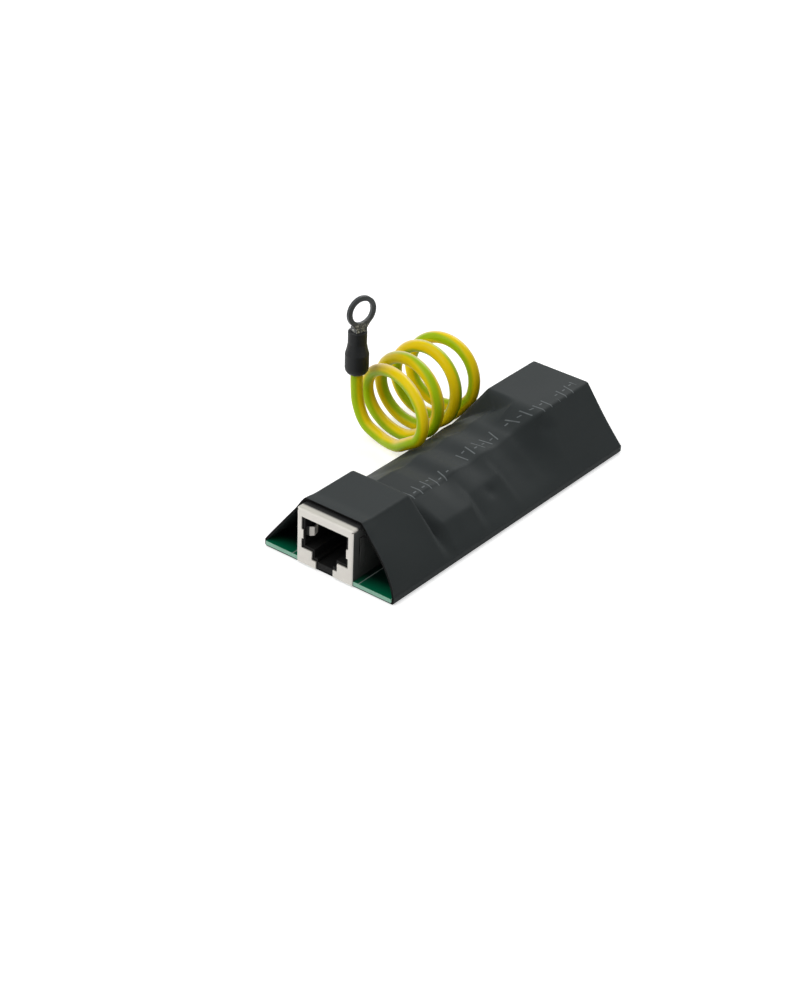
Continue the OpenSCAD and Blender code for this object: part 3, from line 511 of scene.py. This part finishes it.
def filmTree():
    # low wrinkles and dents over the whole film, outwards only
    tree = bpy.data.node_groups.new("filmWrinkles", "GeometryNodeTree")
    groupSocket(tree, "Film", "Geometry")
    groupSocket(tree, "Wrinkle Height", "Float", default=0.0001)
    groupSocket(tree, "Wrinkle Scale", "Float", default=90.0)
    groupSocket(tree, "Ripple Height", "Float", default=0.00003)
    groupSocket(tree, "Ripple Scale", "Float", default=400.0)
    groupSocket(tree, "Seed", "Float", default=1.0)
    groupSocket(tree, "Finish", "Material")
    groupSocket(tree, "Wrinkled Film", "Geometry", output=True)
    start = addNode(tree, "NodeGroupInput")
    place = addNode(tree, "GeometryNodeInputPosition").outputs[0]
    stretch = vectorMath(tree, "MULTIPLY", place, (1.0, 0.6, 1.0))
    heights = []
    waves = (("Wrinkle Height", "Wrinkle Scale", 1.5), ("Ripple Height", "Ripple Scale", 3.0))
    for height, scale, detail in waves:
        noise = addNode(tree, "ShaderNodeTexNoise",
                        {"Vector": stretch, "W": start.outputs["Seed"], "Scale": start.outputs[scale],
                         "Detail": detail}, noise_dimensions="4D")
        heights.append(mathNode(tree, "MULTIPLY", noise.outputs[0], start.outputs[height]))
    slack = addNode(tree, "GeometryNodeInputNamedAttribute", {"Name": "slack"}, data_type="FLOAT")
    rise = mathNode(tree, "MULTIPLY", mathNode(tree, "ADD", *heights), slack.outputs[0])
    normal = addNode(tree, "GeometryNodeInputNormal").outputs[0]
    offset = addNode(tree, "ShaderNodeVectorMath", {0: normal, "Scale": rise}, operation="SCALE").outputs[0]
    moved = addNode(tree, "GeometryNodeSetPosition", {"Geometry": start.outputs["Film"], "Offset": offset})
    real = addNode(tree, "GeometryNodeRealizeInstances", {"Geometry": moved.outputs[0]})
    finish = addNode(tree, "GeometryNodeSetMaterial",
                     {"Geometry": real.outputs[0], "Material": start.outputs["Finish"]})
    end = addNode(tree, "NodeGroupOutput")
    tree.links.new(finish.outputs[0], end.inputs["Wrinkled Film"])
    return tree


def filmRows(v):
    return [lerp(-boardEnd, boardEnd, i / v["rows"]) for i in range(v["rows"] + 1)]


def makeFilm(v, finish):
    outside = v["filmFit"] + v["filmThickness"]
    rows = filmRows(v)
    points, slack, prints = [], [], []
    for y in rows:
        section, aside = sleeveSection(v, y, outside)
        for p, distance in zip(section, aside):
            points.append(Vector((p.x, leanedStation(v, y, p.y), p.y + mouthLift(v, y, p.y))) * mm)
            slack.append(ease((p.y - boardHigh) / 2) * (1 - 0.8 * overJack(v, y, 1 if p.x > 0 else -1)))
            prints += (y, distance - along(v["printLine"], y), 0)
    columns = len(points) // len(rows)
    faces = [(i * columns + j, (i + 1) * columns + j,
              (i + 1) * columns + (j + 1) % columns, i * columns + (j + 1) % columns)
             for i in range(len(rows) - 1) for j in range(columns)]
    mesh = bpy.data.meshes.new("heatShrinkSleeve")
    mesh.from_pydata(points, [], faces)
    mesh.attributes.new("slack", "FLOAT", "POINT").data.foreach_set("value", slack)
    mesh.attributes.new("printPlace", "FLOAT_VECTOR", "POINT").data.foreach_set("vector", prints)
    film = linkedObject("heatShrinkSleeve", mesh)
    mesh.shade_smooth()
    applyGeometryTree(film, filmTree(), {
        "Wrinkle Height": 0.00035, "Wrinkle Scale": 120.0, "Ripple Height": 0.00006,
        "Ripple Scale": 500.0, "Seed": 3.0, "Finish": finish})
    return film


def thickenFilm(v, film):
    wall = film.modifiers.new("wall", "SOLIDIFY")
    wall.thickness = v["filmThickness"] * mm
    wall.offset = -1
    wall.use_even_offset = True
    hole = bpy.data.meshes.new("leadHole")
    radius, reach, ring = v["leadHole"] / 2 * mm, 3 * mm, 40
    x, y, z = (c * mm for c in leadValues["exit"])
    corners = [(x + side * reach, y + radius * math.cos(a), z + radius * math.sin(a))
               for side in (-1, 1) for a in (2 * math.pi * i / ring for i in range(ring))]
    sides = [(i, (i + 1) % ring, ring + (i + 1) % ring, ring + i) for i in range(ring)]
    hole.from_pydata(corners, [], sides + [tuple(reversed(range(ring))), tuple(range(ring, 2 * ring))])
    punch = linkedObject("leadHole", hole)
    cut = film.modifiers.new("hole", "BOOLEAN")
    cut.operation = "DIFFERENCE"
    cut.object = punch
    cut.solver = "EXACT"
    bakedMesh(film)
    bpy.data.objects.remove(punch)
    film.data.set_sharp_from_angle(angle=math.radians(40))
    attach(film, "root")
    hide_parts("heat_shrink_sleeve")
    print("sleeve", len(film.data.polygons), "faces")


# shader groups that several finishes share
def grainGroup():
    # fine uneven surface: a value for colour and roughness, and a height for bump
    tree = bpy.data.node_groups.new("fineGrain", "ShaderNodeTree")
    groupSocket(tree, "Scale", "Float", default=800.0)
    groupSocket(tree, "Stretch", "Vector", default=(1, 1, 1))
    groupSocket(tree, "Cloud", "Float", output=True)
    groupSocket(tree, "Height", "Float", output=True)
    start = addNode(tree, "NodeGroupInput")
    place = addNode(tree, "ShaderNodeTexCoord").outputs["Object"]
    stretched = vectorMath(tree, "MULTIPLY", place, start.outputs["Stretch"])
    fine = addNode(tree, "ShaderNodeTexNoise", {"Vector": stretched, "Scale": start.outputs["Scale"],
                                                "Detail": 4.0, "Roughness": 0.6})
    broadScale = mathNode(tree, "MULTIPLY", start.outputs["Scale"], 0.12)
    broad = addNode(tree, "ShaderNodeTexNoise", {"Vector": stretched, "Scale": broadScale, "Detail": 3.0})
    end = addNode(tree, "NodeGroupOutput")
    tree.links.new(broad.outputs[0], end.inputs["Cloud"])
    tree.links.new(fine.outputs[0], end.inputs["Height"])
    return tree


fineGrain = grainGroup()


def newFinish(name, **sockets):
    material = bpy.data.materials.new(name)
    material.use_nodes = True
    tree = material.node_tree
    shader = tree.nodes["Principled BSDF"]
    for key, value in sockets.items():
        shader.inputs[key.replace("_", " ")].default_value = value
    return tree, shader, material


def grainNode(tree, scale, stretch=(1, 1, 1)):
    node = addNode(tree, "ShaderNodeGroup", node_tree=fineGrain)
    node.inputs["Scale"].default_value = scale
    node.inputs["Stretch"].default_value = stretch
    return node


def mixColours(tree, mask, first, second):
    node = tree.nodes.new("ShaderNodeMix")
    node.data_type = "RGBA"
    sockets = [s for s in node.inputs if s.enabled]
    for socket, value in zip(sockets, (mask, first, second)):
        if isinstance(value, bpy.types.NodeSocket):
            tree.links.new(value, socket)
        else:
            socket.default_value = value
    return [s for s in node.outputs if s.enabled][0]


def remap(tree, value, low, high, toLow=0.0, toHigh=1.0):
    return addNode(tree, "ShaderNodeMapRange", {"Value": value, "From Min": low, "From Max": high,
                                                "To Min": toLow, "To Max": toHigh}).outputs[0]


def addBump(tree, shader, height, distance, strength=0.5):
    bumpNode = addNode(tree, "ShaderNodeBump",
                       {"Height": height, "Distance": distance, "Strength": strength})
    tree.links.new(bumpNode.outputs[0], shader.inputs["Normal"])


def grainyFinish(name, colour, spread, roughness, scale, depth, stretch=(1, 1, 1), metallic=0.0, **sockets):
    # one colour that clouds a little, uneven gloss and a fine bump
    tree, shader, material = newFinish(name, Metallic=metallic, **sockets)
    grain = grainNode(tree, scale, stretch)
    darker = tuple(c * (1 - spread) for c in colour) + (1,)
    lighter = tuple(min(1, c * (1 + spread)) for c in colour) + (1,)
    cloud = remap(tree, grain.outputs["Cloud"], 0.3, 0.7)
    tree.links.new(mixColours(tree, cloud, darker, lighter), shader.inputs["Base Color"])
    tree.links.new(remap(tree, grain.outputs["Height"], 0.3, 0.7, roughness * 0.85, roughness * 1.15),
                   shader.inputs["Roughness"])
    addBump(tree, shader, grain.outputs["Height"], depth)
    return material


def leadFinish():
    # yellow insulation with a green stripe on opposite sides, and a pale highlight painted on where its top
    # is seen at a grazing angle
    tree, shader, material = newFinish("leadInsulation", Roughness=0.36, Specular_IOR_Level=0.15)
    facing = addNode(tree, "ShaderNodeAttribute", attribute_name="greenFacing").outputs["Fac"]
    grain = grainNode(tree, 900)
    wander = mathNode(tree, "MULTIPLY_ADD", grain.outputs["Cloud"], 0.16, facing)
    mask = remap(tree, wander, 0.72, 1.0)
    yellow = mixColours(tree, grain.outputs["Cloud"], (0.90, 0.66, 0.0, 1), (0.98, 0.75, 0.0, 1))
    green = mixColours(tree, grain.outputs["Cloud"], (0.36, 0.55, 0.0, 1), (0.44, 0.63, 0.0, 1))
    striped = mixColours(tree, mask, yellow, green)
    glancing = addNode(tree, "ShaderNodeLayerWeight", {"Blend": 0.5}).outputs["Facing"]
    normal = addNode(tree, "ShaderNodeNewGeometry").outputs["Normal"]
    upward = addNode(tree, "ShaderNodeSeparateXYZ", {0: normal}).outputs["Z"]
    # painted highlight: the colour turns pale peach where the top faces up and is seen at a grazing angle
    paintedHighlight = mathNode(tree, "MULTIPLY",
                   remap(tree, glancing, 0.35, 0.85, 0, 0.75), remap(tree, upward, 0.0, 0.6))
    tree.links.new(mixColours(tree, paintedHighlight, striped, (1.0, 0.78, 0.5, 1)), shader.inputs["Base Color"])
    addBump(tree, shader, grain.outputs["Height"], 0.00002)
    return material


printValues = {
    "pitch": 3.1,              # mm from stroke to stroke
    "halfWidth": 0.17,
    "halfHeight": 1.75,
    "groups": ((-21, -6.5), (0, 14), (17, 29.5), (32, 41)),
    "strength": 0.4,
}


def printStrokes(v, tree):
    # plain bars and dashes that stand for the sleeve's print: a mask from each point's place
    # along the line of print and across it
    place = addNode(tree, "ShaderNodeAttribute", attribute_name="printPlace").outputs["Vector"]
    parts = addNode(tree, "ShaderNodeSeparateXYZ", {0: place}).outputs
    cells = mathNode(tree, "DIVIDE", parts["X"], v["pitch"])
    cell = mathNode(tree, "FLOOR", cells)
    within = mathNode(tree, "MULTIPLY", mathNode(tree, "SUBTRACT", mathNode(tree, "FRACT", cells), 0.5),
                      v["pitch"])
    chance = addNode(tree, "ShaderNodeTexWhiteNoise", {"W": cell}, noise_dimensions="1D")
    tilts = addNode(tree, "ShaderNodeSeparateXYZ", {0: chance.outputs["Color"]}).outputs
    tilt = remap(tree, tilts["X"], 0, 1, -0.3, 0.3)
    level = remap(tree, tilts["Y"], 0, 1, -1.4, 1.4)
    barPlace = mathNode(tree, "MULTIPLY_ADD", parts["Y"], tilt, -0.75)
    bar = mathNode(tree, "ABSOLUTE", mathNode(tree, "SUBTRACT", within, barPlace))
    tall = mathNode(tree, "ABSOLUTE", parts["Y"])
    barMask = mathNode(tree, "MULTIPLY", remap(tree, bar, v["halfWidth"] + 0.06, v["halfWidth"] - 0.06),
                       remap(tree, tall, v["halfHeight"] + 0.08, v["halfHeight"] - 0.08))
    dash = mathNode(tree, "ABSOLUTE", mathNode(tree, "SUBTRACT", parts["Y"], level))
    dashLength = mathNode(tree, "ABSOLUTE", mathNode(tree, "SUBTRACT", within, 0.95))
    dashMask = mathNode(tree, "MULTIPLY", remap(tree, dash, v["halfWidth"] + 0.06, v["halfWidth"] - 0.06),
                        remap(tree, dashLength, 0.55, 0.45))
    groups = 0.0
    for start, end in v["groups"]:
        inside = mathNode(tree, "MULTIPLY", mathNode(tree, "GREATER_THAN", parts["X"], start),
                          mathNode(tree, "LESS_THAN", parts["X"], end))
        groups = mathNode(tree, "ADD", inside, groups)
    return mathNode(tree, "MULTIPLY", mathNode(tree, "MAXIMUM", barMask, dashMask), groups)


filmShade = {
    "endFrom": 0.0415,         # m along the sleeve, where its cut edges lie
}


def filmFinish(v):
    # soft dark film, painted black as shade where it is cut off square at the sleeve's ends
    tree, shader, material = newFinish("shrunkFilm", Specular_IOR_Level=0.09)
    grain = grainNode(tree, 700, (1, 0.5, 1))
    cloud = remap(tree, grain.outputs["Cloud"], 0.3, 0.7)
    plain = mixColours(tree, cloud, (0.025, 0.0298, 0.0303, 1), (0.032, 0.0375, 0.038, 1))
    worn = mathNode(tree, "MULTIPLY", printStrokes(printValues, tree),
                    remap(tree, grain.outputs["Height"], 0.3, 0.6, 0.25, printValues["strength"]))
    marked = mixColours(tree, worn, plain, (0.30, 0.33, 0.34, 1))
    normal = addNode(tree, "ShaderNodeNewGeometry").outputs["Normal"]
    endways = mathNode(tree, "ABSOLUTE", addNode(tree, "ShaderNodeSeparateXYZ", {0: normal}).outputs["Y"])
    place = addNode(tree, "ShaderNodeTexCoord").outputs["Object"]
    lengthways = addNode(tree, "ShaderNodeSeparateXYZ", {0: place}).outputs["Y"]
    atEnd = mathNode(tree, "GREATER_THAN", mathNode(tree, "ABSOLUTE", lengthways), v["endFrom"])
    # faces turned lengthways at the sleeve's ends are painted black as shade
    paintedEdgeShade = mathNode(tree, "MULTIPLY", remap(tree, endways, 0.8, 0.9), atEnd)
    tree.links.new(mixColours(tree, paintedEdgeShade, marked, (0.002, 0.002, 0.002, 1)), shader.inputs["Base Color"])
    tree.links.new(remap(tree, grain.outputs["Cloud"], 0.3, 0.7, 0.5, 0.6), shader.inputs["Roughness"])
    addBump(tree, shader, grain.outputs["Height"], 0.00003)
    return material


shieldShade = {
    "middle": -0.0006,         # m, of the jacks across the board
    "aside": 0.00585,          # from there on outwards a plate behind the face is painted near black as shade
    "face": 0.0441,            # along the board
    "top": 0.0138,             # below this the side plates get the painted shade
    # where the painted shadow before the film's edge fades in
    "filmEdge": (0.0430, 0.0425),
}


def shieldFinish(v):
    # tinned sheet, bright in front, with painted shade: near black on its side plates behind the face,
    # darker on its top plate, and a painted shadow just before the film's edge
    tree, shader, material = newFinish("tinnedSheet")
    grain = grainNode(tree, 1500, (1, 8, 1))
    place = addNode(tree, "ShaderNodeTexCoord").outputs["Object"]
    across, lengthways, up = addNode(tree, "ShaderNodeSeparateXYZ", {0: place}).outputs
    fromMiddle = mathNode(tree, "ABSOLUTE", mathNode(tree, "SUBTRACT", across, v["middle"]))
    fromCentre = mathNode(tree, "ABSOLUTE", lengthways)
    aside = mathNode(tree, "MULTIPLY", mathNode(tree, "GREATER_THAN", fromMiddle, v["aside"]),
                     mathNode(tree, "LESS_THAN", fromCentre, v["face"]))
    # side plates behind the face, below the top, are painted near black as shade
    paintedSideShade = mathNode(tree, "MULTIPLY", aside, mathNode(tree, "LESS_THAN", up, v["top"]))
    # a painted shadow darkens the top plate just before the film's edge
    paintedFilmShadow = mathNode(tree, "MULTIPLY", remap(tree, fromCentre, *v["filmEdge"]),
                       mathNode(tree, "GREATER_THAN", up, v["top"]))
    bright = mixColours(tree, grain.outputs["Cloud"], (0.69, 0.665, 0.62, 1), (0.79, 0.76, 0.71, 1))
    normal = addNode(tree, "ShaderNodeNewGeometry").outputs["Normal"]
    level = addNode(tree, "ShaderNodeSeparateXYZ", {0: normal}).outputs["Z"]
    # painted shade: faces turned upwards get a darker tone, so the top plate is darker than the face
    paintedTopShade = mixColours(tree, remap(tree, level, 0.3, 0.9), bright, (0.47, 0.455, 0.41, 1))
    withSideShade = mixColours(tree, paintedSideShade, paintedTopShade, (0.05, 0.052, 0.05, 1))
    tree.links.new(mixColours(tree, paintedFilmShadow, withSideShade, (0.01, 0.01, 0.01, 1)), shader.inputs["Base Color"])
    paintedShade = mathNode(tree, "MAXIMUM", paintedSideShade, paintedFilmShadow)
    # metal and gloss are lowered where shade or shadow is painted
    tree.links.new(remap(tree, paintedShade, 0, 1, 0.5, 0.1), shader.inputs["Metallic"])
    tree.links.new(remap(tree, paintedShade, 0, 1, 0.62, 0.7), shader.inputs["Roughness"])
    addBump(tree, shader, grain.outputs["Height"], 0.00001)
    return material


terminalGlints = {
    "from": 0.0318,            # m above the table, where the painted glints begin
    "to": 0.0302,
}


def terminalFinish(v):
    # dark plated sheet, with bright spots painted at the neck and the barrel as glints
    tree, shader, material = newFinish("terminalMetal", Metallic=0.85)
    grain = grainNode(tree, 1500)
    cloud = remap(tree, grain.outputs["Cloud"], 0.3, 0.7)
    dark = mixColours(tree, cloud, (0.05, 0.054, 0.057, 1), (0.085, 0.089, 0.092, 1))
    place = addNode(tree, "ShaderNodeTexCoord").outputs["Object"]
    up = addNode(tree, "ShaderNodeSeparateXYZ", {0: place}).outputs["Z"]
    # painted glints: bright spots mixed into the colour near the neck and the barrel
    paintedGlints = mathNode(tree, "MULTIPLY", remap(tree, up, v["from"], v["to"]),
                     remap(tree, grain.outputs["Height"], 0.48, 0.64))
    tree.links.new(mixColours(tree, paintedGlints, dark, (0.46, 0.46, 0.41, 1)), shader.inputs["Base Color"])
    tree.links.new(remap(tree, grain.outputs["Height"], 0.3, 0.7, 0.36, 0.5), shader.inputs["Roughness"])
    addBump(tree, shader, grain.outputs["Height"], 0.00004)
    return material


boardPrintAndShade = {
    "middle": -0.0006,         # m, of the jacks across the board
    "aside": 0.0094,           # from there to the line beside a jack
    "halfWidth": 0.00013,
    "darkFrom": 0.0445,        # m along the board, where the painted shade under the film begins
    "darkTo": 0.0395,
}


def maskFinish(v):
    # green solder mask with a white line beside the jacks, bare glass fibre on the cut edges, and painted
    # shade darkening the top to near black under the sleeve
    tree, shader, material = newFinish("solderMask", Roughness=0.3)
    normal = addNode(tree, "ShaderNodeNewGeometry").outputs["Normal"]
    level = mathNode(tree, "ABSOLUTE", addNode(tree, "ShaderNodeSeparateXYZ", {0: normal}).outputs["Z"])
    flat = remap(tree, level, 0.5, 0.6)
    grain = grainNode(tree, 600)
    mask = mixColours(tree, grain.outputs["Cloud"], (0.0, 0.13, 0.06, 1), (0.0, 0.19, 0.085, 1))
    place = addNode(tree, "ShaderNodeTexCoord").outputs["Object"]
    across, lengthways = addNode(tree, "ShaderNodeSeparateXYZ", {0: place}).outputs[:2]
    fromMiddle = mathNode(tree, "ABSOLUTE", mathNode(tree, "SUBTRACT", across, v["middle"]))
    fromLine = mathNode(tree, "ABSOLUTE", mathNode(tree, "SUBTRACT", fromMiddle, v["aside"]))
    line = mathNode(tree, "LESS_THAN", fromLine, v["halfWidth"])
    fromCentre = mathNode(tree, "ABSOLUTE", lengthways)
    # painted shade: the board's top fades to near black going in under the sleeve
    shaded = remap(tree, fromCentre, v["darkFrom"], v["darkTo"])
    withPaintedShade = mixColours(tree, shaded, mask, (0.0, 0.012, 0.008, 1))
    printed = mixColours(tree, mathNode(tree, "MULTIPLY", line, 0.6), withPaintedShade, (0.55, 0.6, 0.57, 1))
    fibre = grainNode(tree, 2500, (1, 1, 6))
    edge = mixColours(tree, fibre.outputs["Height"], (0.20, 0.46, 0.33, 1), (0.40, 0.66, 0.52, 1))
    tree.links.new(mixColours(tree, flat, edge, printed), shader.inputs["Base Color"])
    tree.links.new(remap(tree, flat, 0, 1, 0.55, 0.28), shader.inputs["Roughness"])
    addBump(tree, shader, grain.outputs["Height"], 0.00002)
    return material


def makeFinishes():
    return {
        "lead_insulation": leadFinish(),
        "sleeve_film": filmFinish(filmShade),
        "board": maskFinish(boardPrintAndShade),
        "shield_metal": shieldFinish(shieldShade),
        "jack_plastic": grainyFinish("jackPlastic", (0.004, 0.004, 0.004), 0.1, 0.6, 3000, 0.00002,
                                     Specular_IOR_Level=0.2),
        "carrier_plastic": grainyFinish("carrierPlastic", (0.02, 0.02, 0.02), 0.1, 0.5, 3000, 0.00002),
        "contact_wire": grainyFinish("goldWire", (0.85, 0.62, 0.25), 0.05, 0.25, 2000, 0.00001,
                                     metallic=1.0),
        "gas_tube": grainyFinish("tubeCeramic", (0.75, 0.73, 0.68), 0.04, 0.4, 1500, 0.00002),
        "rectifier_plastic": grainyFinish("rectifierPlastic", (0.02, 0.02, 0.022), 0.15, 0.55,
                                          2500, 0.00004),
        "diode_plastic": grainyFinish("diodePlastic", (0.025, 0.025, 0.028), 0.15, 0.5, 2500, 0.00004),
        "chip": grainyFinish("chipBody", (0.05, 0.05, 0.055), 0.1, 0.4, 2500, 0.00002),
        "solder": grainyFinish("solder", (0.62, 0.63, 0.65), 0.08, 0.3, 1800, 0.00004, metallic=1.0),
        "copper": grainyFinish("copper", (0.75, 0.36, 0.2), 0.08, 0.35, 2000, 0.00003, (1, 1, 0.2),
                               metallic=1.0),
        "terminal_metal": terminalFinish(terminalGlints),
        "boot_plastic": grainyFinish("bootPlastic", (0.005, 0.006, 0.0065), 0.15, 0.5, 1800, 0.00003,
                                     Specular_IOR_Level=0.25),
    }


finishes = makeFinishes()
lead = makeLead(leadValues, finishes["lead_insulation"])
film = makeFilm(sleeveValues, finishes["sleeve_film"])
thickenFilm(sleeveValues, film)
for part in frame["record"]["subparts"]:
    node = cadNodes.get(part["node"])
    if node is not None:
        node.data.materials.clear()
        node.data.materials.append(finishes[part["material_slot"]])
print("finishes set")


# studio
studioValues = {
    "floorSize": 4.0,
    "ambient": 0.22,
    "floorLift": 0.55,      # share of the white that doesn't take a shadow
}


def seenRays(tree, rays):
    # 1 for what the camera sees straight, in a reflection or through something clear
    some = mathNode(tree, "MAXIMUM", rays.outputs["Is Camera Ray"], rays.outputs["Is Glossy Ray"])
    return mathNode(tree, "MAXIMUM", some, rays.outputs["Is Transmission Ray"])


def makeStudio(v):
    world = bpy.data.worlds.new("studio")
    scene.world = world
    world.use_nodes = True
    tree = world.node_tree
    background = tree.nodes["Background"]
    rays = addNode(tree, "ShaderNodeLightPath")
    background.inputs["Color"].default_value = (1, 1, 1, 1)
    strength = remap(tree, seenRays(tree, rays), 0, 1, v["ambient"], 1.0)
    tree.links.new(strength, background.inputs["Strength"])

    half = v["floorSize"] / 2
    mesh = bpy.data.meshes.new("floor")
    drop = -0.00002
    mesh.from_pydata([(-half, -half, drop), (half, -half, drop), (half, half, drop), (-half, half, drop)],
                     [], [(0, 1, 2, 3)])
    floor = linkedObject("floor", mesh)
    tree, shader, paper = newFinish("paper", Base_Color=(0.8, 0.8, 0.8, 1), Roughness=0.9)
    rays = addNode(tree, "ShaderNodeLightPath")
    glow = addNode(tree, "ShaderNodeEmission", {"Color": (1, 1, 1, 1)})
    lift = mathNode(tree, "MULTIPLY", seenRays(tree, rays), v["floorLift"])
    tree.links.new(lift, glow.inputs["Strength"])
    both = addNode(tree, "ShaderNodeAddShader", {0: shader.outputs[0], 1: glow.outputs[0]})
    tree.links.new(both.outputs[0], tree.nodes["Material Output"].inputs["Surface"])
    mesh.materials.append(paper)


def addLamp(name, place, aim, size, power):
    lamp = linkedObject(name, bpy.data.lights.new(name, "AREA"))
    lamp.data.shape = "SQUARE"
    lamp.data.size = size
    lamp.data.energy = power
    lamp.location = place
    lamp.rotation_euler = (Vector(place) - Vector(aim)).to_track_quat("Z", "Y").to_euler()


makeStudio(studioValues)
middle = (-0.008, 0.0, 0.008)
addLamp("keyLamp", (-0.35, -0.55, 0.75), middle, 0.9, 5.9)
addLamp("fillLamp", (0.75, -0.15, 0.5), middle, 0.5, 0.2)
addLamp("backLamp", (-0.2, 0.75, 0.7), middle, 0.5, 5.2)
scene.view_settings.view_transform = "Standard"
print("studio lit")
